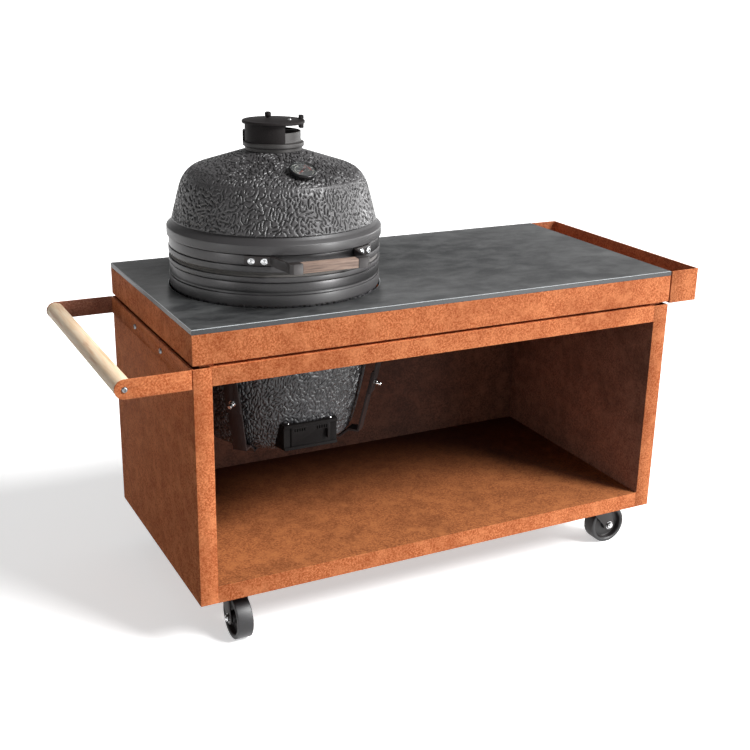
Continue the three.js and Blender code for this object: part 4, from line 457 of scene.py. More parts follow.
def softened(node, material, ease=SHEET_EASE):
    """A copy of a flat-sided node with its doubled points merged, its flat triangles joined and
    its sharp edges rounded to the ease, in millimetres."""
    mesh = frame["nodes"][node].data.copy()
    with reworked(mesh) as shape:
        bmesh.ops.remove_doubles(shape, verts=shape.verts, dist=MERGE)
        bmesh.ops.dissolve_limit(shape, angle_limit=FLAT_ANGLE, verts=shape.verts, edges=shape.edges)
    mesh.shade_smooth()
    piece = settle(f"{node}_finish", mesh, material, BODY_OF[node], (node,))
    bevel = piece.modifiers.new("eased_edges", "BEVEL")
    bevel.width = ease * MM
    bevel.segments = 2
    bevel.limit_method = "ANGLE"
    bevel.angle_limit = CREASE
    bevel.harden_normals = True
    return piece


def painted(mesh, choose):
    """Numbers each face's material by a rule on the faces' middles and the ways they face."""
    middle, facing = np.empty((2, len(mesh.polygons) * 3))
    mesh.polygons.foreach_get("center", middle)
    mesh.polygons.foreach_get("normal", facing)
    number = choose(middle.reshape(-1, 3), facing.reshape(-1, 3))
    mesh.polygons.foreach_set("material_index", number.astype(np.int32))


# ---------------------------------------------------------------- table

STRAP_EASE = 0.5
STRAP_SEAM = 2.0
SEAM_REACH = 0.5
SQUARE_ON = 0.9


def cabinet():
    """Folded sheet walls, rails and floor, the back panel, the rim, the trough and the strap. The
    faces inside the cabinet and the trough, and the strap's inner faces, take darker, duller rust
    copies: painted shade."""
    low, high = box_of("side_tray")
    low, high = low + MM, high - [MM, MM, 0]
    # Faces inside, which take a darker, duller copy of the rust as painted shade.
    shaded_faces = {
        "cabinet_left_wall": (RUST_INNER_SHADE, lambda middle, facing: facing[:, 0] > SQUARE_ON),
        "cabinet_right_wall": (RUST_INNER_SHADE, lambda middle, facing: facing[:, 0] < -SQUARE_ON),
        "cabinet_base": (RUST_SHELF, lambda middle, facing: facing[:, 2] > SQUARE_ON),
        "side_tray": (RUST_TROUGH, lambda middle, facing: np.all((middle > low) & (middle < high), axis=1)),
        "handle_strap": (RUST_INNER_SHADE, lambda middle, facing: facing[:, 1] * np.sign(middle[:, 1]) < -SQUARE_ON),
    }
    for node in ("cabinet_front_rail", "cabinet_back_rail", "apron"):
        softened(node, RUST)
    for node, (rust, choose) in shaded_faces.items():
        ease = STRAP_EASE if node == "handle_strap" else SHEET_EASE
        mesh = softened(node, RUST, ease).data
        mesh.materials.append(rust)
        painted(mesh, choose)
        if node == "handle_strap":
            open_seam(mesh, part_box(node)[1][0], STRAP_SEAM)
    # The back panel's darker rust is painted shade.
    softened("cabinet_back_panel", RUST_BACK)
    softened("slab_carrier", COATED)


def open_seam(mesh, wall, gap):
    """Draws the strap's inner face back from the wall, so that the seam between them shows dark."""
    points = np.empty(len(mesh.vertices) * 3, np.float32)
    mesh.vertices.foreach_get("co", points)
    along = points.reshape(-1, 3)[:, 0]
    along[np.abs(along - wall) < SEAM_REACH * MM] -= gap * MM
    mesh.vertices.foreach_set("co", points)


HOLE_RADIUS = 268
ROUND_STEPS = 160
SLAB_STEPS = ROUND_STEPS
SLAB_ARRIS = 1.3
TINY = 1e-9


def worktop():
    """The slab: a section carried round the hole, whose outer end follows the rectangle. Each
    outer point is where the ray from the hole's centre meets the rectangle, held inside a smaller
    rectangle where the section is set in."""
    low, high = box_of("worktop_slab")
    centre = middle_of("dome")[:2]
    hole = HOLE_RADIUS * MM
    arris = SLAB_ARRIS * MM
    corner = np.array([[low[0], low[1]], [high[0], low[1]], [high[0], high[1]], [low[0], high[1]]]) - centre
    angle = np.sort(np.concatenate([np.arange(SLAB_STEPS) / SLAB_STEPS * TAU,
                                    np.arctan2(corner[:, 1], corner[:, 0]) % TAU]))
    ray = np.stack([np.cos(angle), np.sin(angle)], 1)
    limit = np.where(ray > 0, high[:2] - centre, low[:2] - centre)
    reach = np.min(np.abs(limit / np.where(np.abs(ray) < TINY, TINY, ray)), 1)
    edge = centre + ray * reach[:, None]

    def outer(inset, height):
        held = np.clip(edge, low[:2] + inset, high[:2] - inset)
        return np.column_stack([held, np.full(len(held), height)])

    def inner(radius, height):
        return np.column_stack([centre + ray * radius, np.full(len(ray), height)])

    rows = [
        inner(hole + arris, high[2]), inner(hole, high[2] - arris / 2),
        inner(hole, low[2] + arris / 2), inner(hole + arris / 2, low[2]),
        outer(arris / 2, low[2]), outer(0, low[2] + arris / 2),
        outer(0, high[2] - arris * 0.7), outer(arris, high[2]),
    ]

    # Top and bottom faces are stone, the upper sloped faces the arris with its painted highlight, the rest the
    # ground edge.
    def cut(middle, facing):
        level = np.abs(facing[:, 2])
        upper = middle[:, 2] > (low[2] + high[2]) / 2
        return np.where(level > SQUARE_ON, 0, np.where((level > 1 - SQUARE_ON) & upper, 1, 2))

    piece = lay("worktop_stone", rows, grid_faces(len(rows), len(angle)), [STONE, ARRIS_HIGHLIGHT, EDGE], "table",
                ("worktop_slab",), merge=True, outward=True)
    painted(piece.data, cut)


BAR_RADIUS = 22
BAR_RIM = 2.0
BOLT_HEAD = 4
BOLT_HEAD_RADIUS = 7
SEATED = -0.6
HEAD_STEPS = 36
SOCKET_SHARE = 0.45


def push_bar():
    """The round ash bar with eased ends, and its four bolts with hexagon sockets."""
    low, high = box_of("handle_bar")
    place = np.array([(low[0] + high[0]) / 2, low[1], (low[2] + high[2]) / 2])
    outline = bar_outline((high[1] - low[1]) / MM)
    turned("ash_push_bar", outline, place, ASH, "table", ("handle_bar",), 64, (0, 1, 0))
    for node, way in (("handle_end_bolt_front", (0, -1, 0)), ("handle_end_bolt_rear", (0, 1, 0)),
                      ("handle_plate_bolt_front", (-1, 0, 0)), ("handle_plate_bolt_rear", (-1, 0, 0))):
        low, high = box_of(node)
        way = np.array(way, float)
        face = np.where(way > 0, high, np.where(way < 0, low, (low + high) / 2))
        button_head(f"{node}_head", face - way * BOLT_HEAD * MM, way, BOLT_HEAD_RADIUS, BOLT_HEAD,
                    "table", (node,), ZINC)


def bar_outline(length):
    """Half the section of a round bar along its axis: flat ends, eased rims and a straight side."""
    inner = BAR_RADIUS - BAR_RIM
    low = curve_points([inner, 0], [BAR_RADIUS, 0], [BAR_RADIUS, BAR_RIM], 4)
    high = curve_points([BAR_RADIUS, length - BAR_RIM], [BAR_RADIUS, length], [inner, length], 4)
    return np.vstack([[[0, 0], [inner, 0]], low, [[BAR_RADIUS, length - BAR_RIM]], high, [[0, length]]])


def button_head(name, seat, way, radius, height, body="table", stands_for=(), material=None):
    """A button head on its seat: a domed outline that turns down into a hexagon socket. The rows
    are shares of the radius, of the socket's radius and of the height."""
    socket = radius * SOCKET_SHARE
    dome_rows = [(radius * share, height * level) for share, level in (
        (1, 0), (1, 0.2), (0.93, 0.55), (0.78, 0.85), (0.6, 1))]
    socket_rows = [(socket * share, height * level, 1) for share, level in ((1.1, 1), (1, 0.92), (1, 0.35))]
    rows = [(0, SEATED), (radius * 0.96, SEATED), *dome_rows, *socket_rows, (0, height * 0.3)]
    turned(name, rows, seat, material or CHROME, body, stands_for, HEAD_STEPS, way)


# ---------------------------------------------------------------- casters

WHEEL_RADIUS = 56
WHEEL_HALF = 21
NUT_REACH = 5.2
WHEEL_STEPS = 72
TREAD = [[46, -WHEEL_HALF + 1], [49, -WHEEL_HALF], [53.5, -WHEEL_HALF + 0.3],
         [WHEEL_RADIUS, -WHEEL_HALF + 2.2]]
CORE = [[8, -WHEEL_HALF + 1], [16, -WHEEL_HALF + 1], [17, -WHEEL_HALF + 12], [42, -WHEEL_HALF + 15],
        [44.5, -WHEEL_HALF + 3], [46.2, -WHEEL_HALF + 1.5]]
AXLE_NUT = [
    (0, -0.5), (11.5, -0.5), (11.5, 1.4), (8.6, 1.5, 1), (9.0, 2.2, 1), (9.0, 6.0, 1),
    (7.6, 7.2), (5.2, 7.2), (5.0, 9.0), (3.6, 10.0), (0, 10.3),
]


def both_sides(rows):
    """A wheel's outline from the rows of its one half: they are followed by their mirror images."""
    return np.vstack([rows, np.array(rows[::-1]) * [1, -1]])


def casters():
    """Each caster: a softened plate and fork, a rubber tread, a dished core, and on both ends of
    the axle a hexagon nut on its washer, with the bolt's rounded end in the middle."""
    spins = {joint["child"]: joint for joint in frame["joints"]}
    for corner in ("front_left", "front_right", "rear_left", "rear_right"):
        name, wheel = f"caster_{corner}", f"wheel_{corner}"
        softened(f"{name}_plate", COATED)
        softened(f"{name}_fork", COATED)
        hub, way = np.array(spins[wheel]["pos_m"]), np.array(spins[wheel]["axis"], float)
        turned(f"{name}_tread", eased(both_sides(TREAD), 1.0), hub, RUBBER, wheel,
               (f"{name}_wheel",), WHEEL_STEPS, way)
        turned(f"{name}_core", eased(both_sides(CORE), 1.2), hub, WHEEL_CORE, wheel,
               (), WHEEL_STEPS, way)
        for side, word in ((-1, "a"), (1, "b")):
            seat = hub + way * side * (WHEEL_HALF + NUT_REACH) * MM
            turned(f"{name}_nut_{word}", AXLE_NUT, seat, CHROME, f"fork_{corner}",
                   (), HEAD_STEPS, way * side)


# ---------------------------------------------------------------- kamado ceramics

CERAMIC_RADIUS = 261
CERAMIC_WALL = 26
LIP_RADIUS = 266
SHOULDER_LIP_RADIUS = 269
BACKING = 4.0
RELIEF_DEPTH = 3.4
RELIEF_TUCK = 3.0
RELIEF_FADE = 5
RELIEF_COLUMNS = 960
RELIEF_ROWS = 206
WRINKLE_CELL = 1.5
DOME_WRINKLE = 15.5
BOWL_WRINKLE = 14
WRINKLE_DRAW_OUT = 1.55
WRINKLE_LEAN = 0.3
WAVE_SPREAD = 0.3
GROOVE_SHARE = 0.2
FLAT_SLOPE = 0.07
GAP_START = -1.0
GAP_SPAN = 0.6
GAP_SEED = 50
BOWL_MEAN_RADIUS = 238
DOME_MEAN_RADIUS = 245
NECK_REACH = 74
CAP_REACH = 205
CAP_BLEND = 12
SPARE_CELLS = 10


def waves(rows, columns, length, draw_out, seed):
    """Even noise on a flat field of cells, filtered so that only waves near one length stay: each
    wave is kept by a bell curve of how far its length is from that one. The draw-out makes the
    waves longer along a line that leans a little from the rows."""
    noise = np.random.default_rng(seed).normal(0, 1, (rows, columns))
    down = np.fft.fftfreq(rows, WRINKLE_CELL)[:, None]
    across = np.fft.rfftfreq(columns, WRINKLE_CELL)[None]
    along = (down * math.cos(WRINKLE_LEAN) + across * math.sin(WRINKLE_LEAN)) * length * draw_out
    beside = (across * math.cos(WRINKLE_LEAN) - down * math.sin(WRINKLE_LEAN)) * length
    kept = np.exp(-((np.hypot(along, beside) - 1) / WAVE_SPREAD) ** 2 / 2)
    field = np.fft.irfft2(np.fft.rfft2(noise) * kept, s=noise.shape)
    return field / field.std()


def wrinkles(rows, columns, length, seed):
    """How deep the grooves are, from 0 to 1: thin lines where a field of waves crosses zero. The
    distance from a line is the field's height over its slope. A second field breaks the lines
    into short lengths."""
    field = waves(rows, columns, length, WRINKLE_DRAW_OUT, seed)
    gate = waves(rows, columns, length, 1.0, seed + GAP_SEED)
    fall_down, fall_across = np.gradient(field, WRINKLE_CELL)
    slope = np.sqrt(fall_down ** 2 + fall_across ** 2 + FLAT_SLOPE ** 2)
    near = np.clip(1 - np.abs(field) / slope / (GROOVE_SHARE * length), 0, 1)
    return near * near * (3 - 2 * near) * np.clip((gate - GAP_START) / GAP_SPAN, 0, 1)


def between_cells(field, row, column):
    """The field at any place: mixed from the four cells around it, and wrapped at its edges."""
    rows, columns = field.shape
    first_row, first_column = np.floor(row).astype(int), np.floor(column).astype(int)
    down, along = row - first_row, column - first_column
    upper, lower = first_row % rows, (first_row + 1) % rows
    left, right = first_column % columns, (first_column + 1) % columns
    return ((field[upper, left] * (1 - along) + field[upper, right] * along) * (1 - down)
            + (field[lower, left] * (1 - along) + field[lower, right] * along) * down)


def wrapped(at, turn, radius, length, seed):
    """The flat field wrapped round the axis like a label, at a mean radius."""
    columns = round(TAU * radius / WRINKLE_CELL)
    field = wrinkles(int(at[-1] / WRINKLE_CELL) + SPARE_CELLS, columns, length, seed)
    down = np.repeat(at[:, None] / WRINKLE_CELL, turn.size, 1)
    return between_cells(field, down, np.repeat(turn / TAU * columns, at.size, 0))


def dome_wrinkles(at, turn):
    """Two fields: one laid over the dome's top like a cap, where a point's arc length from the
    axis is its distance from the field's middle, and one wrapped round its side. They fade into
    each other over the shoulder."""
    arc = NECK_REACH + (at[-1] - at)[:, None]
    size = int(2 * arc.max() / WRINKLE_CELL) + SPARE_CELLS
    field = wrinkles(size, size, DOME_WRINKLE, 7)
    reach = arc / WRINKLE_CELL
    cap = between_cells(field, size / 2 + reach * np.sin(turn), size / 2 + reach * np.cos(turn))
    side = np.clip((arc - CAP_REACH) / CAP_BLEND, 0, 1)
    return cap * (1 - side) + wrapped(at, turn, DOME_MEAN_RADIUS, DOME_WRINKLE, 5) * side


def bowl_wrinkles(at, turn):
    """The wrapped field at the bowl's mean radius."""
    return wrapped(at, turn, BOWL_MEAN_RADIUS, BOWL_WRINKLE, 11)


def resampled(path, count):
    """Evenly spaced points along a path of radius and height, and how far along it each one is."""
    path = np.asarray(path, float)
    along = np.concatenate([[0], np.cumsum(np.linalg.norm(np.diff(path, axis=0), axis=1))])
    at = np.linspace(0, along[-1], count)
    return np.column_stack([np.interp(at, along, path[:, 0]), np.interp(at, along, path[:, 1])]), at


def relief_shell(name, path, centre, body, material, grooves, skip=None):
    """The ridged skin: a path carried round the axis. Each point is drawn in along the path's
    normal by the relief's depth times how deep the groove is there. The relief fades at both
    ends, which tuck inwards. The skin is laid in two halves, with normals from the whole."""
    line, at = resampled(path, RELIEF_ROWS)
    slope = np.gradient(line, axis=0)
    normal = np.column_stack([slope[:, 1], -slope[:, 0]])
    normal /= np.linalg.norm(normal, axis=1, keepdims=True)
    turn = np.arange(RELIEF_COLUMNS) / RELIEF_COLUMNS * TAU
    ring = np.stack([np.cos(turn), np.sin(turn)], -1)
    rest, outward = (
        np.concatenate([flat[:, None, :1] * ring, np.repeat(flat[:, 1:, None], RELIEF_COLUMNS, 1)], -1)
        for flat in (line * MM, normal)
    )
    depth = grooves(at, turn[None])
    fade = np.clip(np.minimum(at, at[-1] - at) / RELIEF_FADE, 0, 1)[:, None]
    skin = rest - outward * (RELIEF_DEPTH * depth * fade)[..., None] * MM
    tuck = outward * RELIEF_TUCK * MM
    points = np.concatenate([skin[:1] - tuck[:1], skin, skin[-1:] - tuck[-1:]]) + centre
    ridge = 1 - np.concatenate([depth[:1], depth, depth[-1:]])
    facing = np.cross(np.roll(points, -1, 1) - np.roll(points, 1, 1), np.gradient(points, axis=0))
    facing /= np.linalg.norm(facing, axis=-1, keepdims=True)
    half = len(points) // 2
    for word, rows in (("lower", slice(0, half + 1)), ("upper", slice(half, None))):
        part = points[rows]
        faces = grid_faces(len(part), RELIEF_COLUMNS, close_rows=False)
        if skip is not None:
            faces = faces[~skip(part.reshape(-1, 3)[faces].mean(1))]
        piece = lay(f"{name}_{word}", part, faces, material, body, sharp=False)
        mark = piece.data.attributes.new("ridge", "FLOAT", "POINT")
        mark.data.foreach_set("value", ridge[rows].astype(np.float32).ravel())
        piece.data.normals_split_custom_set_from_vertices(facing[rows].reshape(-1, 3).tolist())


DOME_SIDE_BASE = 82.0
DOME_SIDE_TOP = 152.5
DOME_BASE_RADIUS = 255.5
DOME_TOP_RADIUS = 237
NECK_RADIUS = 71
NECK_RISE = 94.5
THROAT_RADIUS = 56


def dome_path():
    """The dome's outside above its shoulder lip: a leaning side, a round shoulder, a cone, a neck."""
    side = [[DOME_BASE_RADIUS, DOME_SIDE_BASE], [DOME_TOP_RADIUS, DOME_SIDE_TOP]]
    shoulder = curve_points(side[1], [225, DOME_SIDE_TOP + 45.7], [190, DOME_SIDE_TOP + 56.8], 12)
    return np.vstack([side, shoulder, [[NECK_RADIUS, DOME_SIDE_TOP + NECK_RISE]]])


def dome():
    """The lid's ceramic: a smooth body with its lips and groove, and the ridged skin over it."""
    centre = on_axis(box_of("dome")[0][2])
    band_groove = 15
    shoulder_low = 42
    shoulder_high = 64
    neck_top = DOME_SIDE_TOP + NECK_RISE
    lips = [
        [235, 0], [LIP_RADIUS, 0], [LIP_RADIUS, band_groove], [CERAMIC_RADIUS, band_groove],
        [CERAMIC_RADIUS, shoulder_low], [SHOULDER_LIP_RADIUS, shoulder_low],
        [SHOULDER_LIP_RADIUS, shoulder_high], [258.5, shoulder_high + 9],
        [DOME_BASE_RADIUS - BACKING, DOME_SIDE_BASE], [DOME_TOP_RADIUS - BACKING, DOME_SIDE_TOP],
        [222, DOME_SIDE_TOP + 34], [188, DOME_SIDE_TOP + 52.5],
        [NECK_RADIUS, neck_top - BACKING], [NECK_RADIUS, neck_top], [THROAT_RADIUS, neck_top],
        [THROAT_RADIUS, neck_top - CERAMIC_WALL], [164, DOME_SIDE_TOP + 30.8], [199, DOME_SIDE_TOP],
    ]
    turned("dome_body", eased(lips, 1.8), centre, GLAZE, "lid", ("dome",), ROUND_STEPS)
    relief_shell("dome_ridges", dome_path(), centre, "lid", RIDGED_GLAZE, dome_wrinkles)


BOWL_DEPTH = 401.0
FOOT_LIP = 25.5
RIM_LIP = 12
HEEL = (203, 28)
WAIST = (248, BOWL_DEPTH - 222)
BOWL_FLOOR = 26
BOWL_STEPS = 240
DRAFT_HALF_WIDTH = 50
DRAFT_HALF_HEIGHT = 24


def bowl_path():
    """The bowl's outside under its foot lip: a round heel and a long swelling side."""
    heel = curve_points([160, 0], [194, 0], HEEL, 8)
    side = curve_points(HEEL, WAIST, [CERAMIC_RADIUS, BOWL_DEPTH], 40)
    return np.vstack([[[160, 0]], heel, side])


def bowl():
    """The base's ceramic: a smooth body with its three lips, and the ridged skin below them. Both
    are left open where the draft door's tunnel goes through."""
    low, high = box_of("base_bowl")
    centre = on_axis(low[2])
    top = (high[2] - low[2]) / MM
    foot_top = BOWL_DEPTH + FOOT_LIP
    rim = top - RIM_LIP
    inner = CERAMIC_RADIUS - CERAMIC_WALL
    draft = middle_of("draft_housing")
    heel, waist = ([radius - BACKING, height] for radius, height in (HEEL, WAIST))

    def in_tunnel(points):
        beside = np.abs(points[:, 0] - draft[0]) < DRAFT_HALF_WIDTH * MM
        level = np.abs(points[:, 2] - draft[2]) < DRAFT_HALF_HEIGHT * MM
        return beside & level & (points[:, 1] < centre[1])

    body = np.vstack([
        [[0, 0], [158, 0]],
        curve_points([158, 0.5], [190, 1], heel, 5),
        curve_points(heel, waist, [CERAMIC_RADIUS - BACKING, BOWL_DEPTH - 1], 24),
        eased([[CERAMIC_RADIUS - BACKING, BOWL_DEPTH], [LIP_RADIUS, BOWL_DEPTH], [LIP_RADIUS, foot_top],
               [CERAMIC_RADIUS, foot_top], [CERAMIC_RADIUS, rim], [LIP_RADIUS, rim], [LIP_RADIUS, top],
               [inner, top], [inner, BOWL_DEPTH], [222, 179], [177, 54], [134, BOWL_FLOOR]], 1.8),
        [[0, BOWL_FLOOR]],
    ])
    points = round_axis(body, centre, BOWL_STEPS)
    faces = grid_faces(len(points), BOWL_STEPS)
    faces = faces[~in_tunnel(points.reshape(-1, 3)[faces].mean(1))]
    lay("bowl_body", points, faces, GLAZE, "table", ("base_bowl",), merge=True)
    relief_shell("bowl_ridges", bowl_path(), centre, "table", BOWL_GLAZE, bowl_wrinkles, in_tunnel)


BAND_BACK = 261.2
BAND_EDGE = 264.3
BAND_CROWN = 264.8
BAND_STEPS = 192
GASKET_WIDTH = 12
CLAMP_REACH = (262, 275.5)
CLAMP_BOLT_REACH = 270
EAR_ASIDE = 5.3
EAR_SHEET = 5
CLAMP_NUT_ASIDE = 7.9
CLAMP_NUT = [(0, -0.5), (5, -0.5), (5, 0.3, 1), (5, 4.2, 1), (3, 4.6), (2.5, 8), (0, 8.4)]


def bands_and_gaskets():
    """The two steel bands with crowned faces and rolled edges, and the two felt gaskets."""
    for node in ("base_band", "lid_band"):
        low, high = box_of(node)
        centre, tall = on_axis(low[2]), (high[2] - low[2]) / MM
        outline = eased([[BAND_BACK, 0], [BAND_EDGE, 0], [BAND_CROWN, tall / 2], [BAND_EDGE, tall],
                         [BAND_BACK, tall]], [0.3, 1, 6, 1, 0.3])
        turned(f"{node}_strip", outline, centre, BAND, BODY_OF[node], (node,), BAND_STEPS)
        clamp(f"{node}_strip", centre, tall, BODY_OF[node])
    for node in ("base_gasket", "lid_gasket"):
        low, high = box_of(node)
        tall, outer = (high[2] - low[2]) / MM, (high[0] - low[0]) / 2 / MM
        inner = outer - GASKET_WIDTH
        outline = eased([[inner, 0], [outer, 0], [outer, tall], [inner, tall]], 1.6, 4)
        turned(f"{node}_felt", outline, on_axis(low[2]), FELT, BODY_OF[node], (node,), ROUND_STEPS)


def clamp(name, centre, tall, body):
    """The band's clamp at the right: two bent ears, a bolt through them and its nuts."""
    for side, word in ((-1, "a"), (1, "b")):
        billet(f"{name}_ear_{word}", CLAMP_REACH, EAR_SHEET, (0.5, tall - 0.5), centre, BAND, body,
               beside=side * EAR_ASIDE)
        seat = centre + np.array([CLAMP_BOLT_REACH, side * CLAMP_NUT_ASIDE, tall / 2]) * MM
        turned(f"{name}_nut_{word}", CLAMP_NUT, seat, CHROME, body, (), 24, (0, side, 0))


# ---------------------------------------------------------------- kamado fittings

HANDLE_BOLT_ANGLES = (27.3, 33.7)
HANDLE_BOLT_RADIUS = 270.8
CROSS_HEAD = [
    (0, -0.6), (8.6, -0.6), (8.8, 0.4), (8.8, 2.2), (8.2, 3.6), (7.0, 4.4), (6.0, 4.2),
    (5.4, 3.2), (4.6, 3.0), (4.0, 4.0), (2.8, 4.6), (1.6, 4.6), (1.2, 3.4), (0, 3.2),
]


def lid_handle():
    """The two coated brackets, the square oak grip, and the brackets' bright bolts: their rims are
    rolled, and their heads flat down to a dished middle with a dark recess."""
    centre = on_axis(middle_of("handle_grip")[2])
    for side, word in ((-1, "left"), (1, "right")):
        softened(f"handle_bracket_{word}", COATED, ease=0.9)
        for number, angle in enumerate(HANDLE_BOLT_ANGLES):
            turn = math.radians(side * angle)
            way = np.array([math.sin(turn), -math.cos(turn), 0])
            turned(f"lid_handle_bolt_{word}_{number}", CROSS_HEAD, centre + way * HANDLE_BOLT_RADIUS * MM,
                   CHROME, "lid", (), 40, way)
    softened("handle_grip", GREYED_OAK, 1.6)


def hinge():
    """The rear hinge: bracket, arm and pin."""
    softened("hinge_bracket", COATED)
    softened("hinge_arm", COATED)
    softened("hinge_pin", CHROME, 0.6)


DIAL_RADIUS = 33.5
DIAL_NUMBERS = (100, 200, 300, 400)
DIAL_TICKS = 41
DIAL_START = 225
DIAL_SWEEP = 270
TICK_LEVELS = (9.4, 9.65)
TICK_END = 27.0
ZONE_STEPS = 40
ZONE_ROWS = ((18.2, 9.4), (18.2, 9.6), (20.4, 9.6), (20.4, 9.4))
NUMBER_RADIUS = 14.2
NUMBER_LEVEL = 9.55
NUMBER_SIZE = 5.2
NUMBER_RELIEF = 0.1
NEEDLE_STATIONS = np.array([-7.0, -5.5, 0.0, 12.0, 22.5])
NEEDLE_HALVES = np.array([1.2, 1.9, 1.6, 0.9, 0.25])
NEEDLE_RIMS = ((-1, 10.3), (1, 10.3), (1, 10.9), (-1, 10.9))
DIAL_ZONES = (("low", 225, -120, DIAL_PRINT), ("high", 60, -75, DIAL_HOT))
# Each turned part of the dial: rows of radius and height, material, body, slot, node and steps.
DIAL_PARTS = {
    "shell": ([[0, -60], [3, -60], [3, 1.5], [9, 1.5], [9, 3], [29, 3], [DIAL_RADIUS - 0.8, 4.5],
               [DIAL_RADIUS, 7], [DIAL_RADIUS, 12], [DIAL_RADIUS - 1.2, 14], [30.6, 14], [30.2, 13.2],
               [30.2, 9.2], [0, 9.2]], DIAL_CASE, "lid", "dial_metal", ("thermometer_case",), 72),
    "face": ([[0, 9.1], [29.9, 9.1], [29.9, 9.5], [0, 9.5]], DIAL_FACE, "lid", "dial_metal", (), 64),
    "pane": ([[0, 12], [30, 12], [30, 13.2], [0, 13.5]],
             GLASS, "lid", "dial_glass", ("thermometer_glass",), 64),
    "boss": ([[1.9, 10.0], [4.2, 10.0], [4.2, 11.2], [3.4, 11.8], [1.9, 11.8]],
             DIAL_CASE, "needle", "needle_paint", (), 32),
    "post": ([[0, 9.3], [1.6, 9.3], [1.6, 11.6], [0, 11.8]], CHROME, "lid", "dial_metal", (), 20),
}


def thermometer():
    """A spun case with a rolled rim, a printed face with ticks and numbers, a needle and a glass."""
    joint = next(j for j in frame["joints"] if j["child"] == "needle")
    hub, way = np.array(joint["pos_m"]), np.array(joint["axis"])
    for name, (rows, material, body, slot, stands_for, steps) in DIAL_PARTS.items():
        turned(f"thermometer_{name}", rows, hub, material, body, stands_for, steps, way)
    right = np.array([1.0, 0, 0])
    dial = (hub, right, np.cross(way, right), way)
    dial_ticks(dial)
    dial_zones(dial)
    dial_numbers(dial)
    dial_needle(dial)


def on_dial(dial, angle, radius, offset, height):
    """Points over the dial in metres: out from its hub by a radius at an angle in radians, aside
    by an offset and up its axis by a height."""
    hub, right, upward, way = dial
    angle, radius, offset = (np.asarray(value, float)[..., None] for value in (angle, radius, offset))
    along = np.cos(angle) * right + np.sin(angle) * upward
    across = np.cos(angle) * upward - np.sin(angle) * right
    return hub + MM * (radius * along + offset * across + height * way)


def dial_ticks(dial):
    """Tick marks: each a thin bar between two radii, every fifth one longer."""
    angle = np.radians(DIAL_START - np.linspace(0, DIAL_SWEEP, DIAL_TICKS))
    long_mark = np.arange(DIAL_TICKS) % 5 == 0
    inner = np.where(long_mark, 22.5, 24.5)
    half = np.where(long_mark, 0.45, 0.25)
    corners = [(inner, -half), (inner, half), (TICK_END, half), (TICK_END, -half)]
    points = np.stack([on_dial(dial, angle, radius, offset, height)
                       for height in TICK_LEVELS for radius, offset in corners], 1)
    cell = np.array([[4, 7, 6, 5], [0, 1, 2, 3], [0, 4, 5, 1], [1, 5, 6, 2], [2, 6, 7, 3], [3, 7, 4, 0]])
    faces = np.concatenate([cell + 8 * k for k in range(DIAL_TICKS)])
    lay("thermometer_ticks", points, faces, DIAL_PRINT, "lid", outward=True)


def dial_zones(dial):
    """Two printed arcs inside the ticks, pale for low heat and red for high."""
    for name, begin, span, material in DIAL_ZONES:
        angle = np.radians(begin + np.linspace(0, span, ZONE_STEPS))
        points = [on_dial(dial, angle, radius, 0, height) for radius, height in ZONE_ROWS]
        faces = grid_faces(len(ZONE_ROWS), ZONE_STEPS, close_columns=False)
        lay(f"thermometer_zone_{name}", points, faces, material, "lid", outward=True)


def dial_numbers(dial):
    """Plain numbers round the dial, as thin raised print."""
    turn = Matrix(dial[1:]).transposed().to_4x4()
    for index, number in enumerate(DIAL_NUMBERS):
        angle = math.radians(DIAL_START - DIAL_SWEEP * (index + 0.5) / len(DIAL_NUMBERS))
        text = bpy.data.curves.new(f"number_{number}", "FONT")
        text.body = str(number)
        text.size = NUMBER_SIZE * MM
        text.align_x = text.align_y = "CENTER"
        text.extrude = NUMBER_RELIEF * MM
        holder = bpy.data.objects.new(f"number_{number}", text)
        bpy.context.scene.collection.objects.link(holder)
        bpy.context.view_layer.update()
        mesh = bpy.data.meshes.new_from_object(holder.evaluated_get(bpy.context.evaluated_depsgraph_get()))
        bpy.data.objects.remove(holder)
        place = on_dial(dial, angle, NUMBER_RADIUS, 0, NUMBER_LEVEL)
        mesh.transform(Matrix.Translation(place) @ turn)
        settle(f"thermometer_number_{number}", mesh, DIAL_PRINT, "lid")


def dial_needle(dial):
    """The needle at rest, at the dial's start: a tapered blade with a counterweight."""
    angle = math.radians(DIAL_START)
    points = [on_dial(dial, angle, NEEDLE_STATIONS, side * NEEDLE_HALVES, height)
              for side, height in NEEDLE_RIMS]
    faces = grid_faces(len(NEEDLE_RIMS), len(NEEDLE_STATIONS), close_columns=False)
    lay("thermometer_blade", points, faces, DIAL_HOT, "needle", ("thermometer_needle",),
        outward=True)


FLUE_STEPS = 112
SHIELD_BEGIN = 41.4
SHIELD_SPAN = 230
FLUE_EAR_ANGLE = 153
CAP_LUG_ANGLE = -3
KNOB_PLACE = (-8, 15, 0)
CAP_SCREW_PLACE = (28.6, -33.9, 73.0)


def arc_wall(name, outline, centre, material, body, steps=64):
    """A convex outline carried over the flue's part of a turn, with its two ends closed by
    narrowing the outline to its own middle."""
    middle = outline.mean(0)
    angle = np.radians(SHIELD_BEGIN + np.linspace(0, SHIELD_SPAN, steps))
    angle = np.concatenate([angle[:1], angle, angle[-1:]])
    keep = np.ones(len(angle))
    keep[[0, -1]] = 0
    shape = middle + (outline[:, None] - middle) * keep[None, :, None]
    points = np.stack([shape[..., 0] * np.cos(angle), shape[..., 0] * np.sin(angle), shape[..., 1]], -1) * MM
    faces = grid_faces(len(outline), len(angle), close_columns=False)
    lay(name, points + centre, faces, material, body, merge=True)


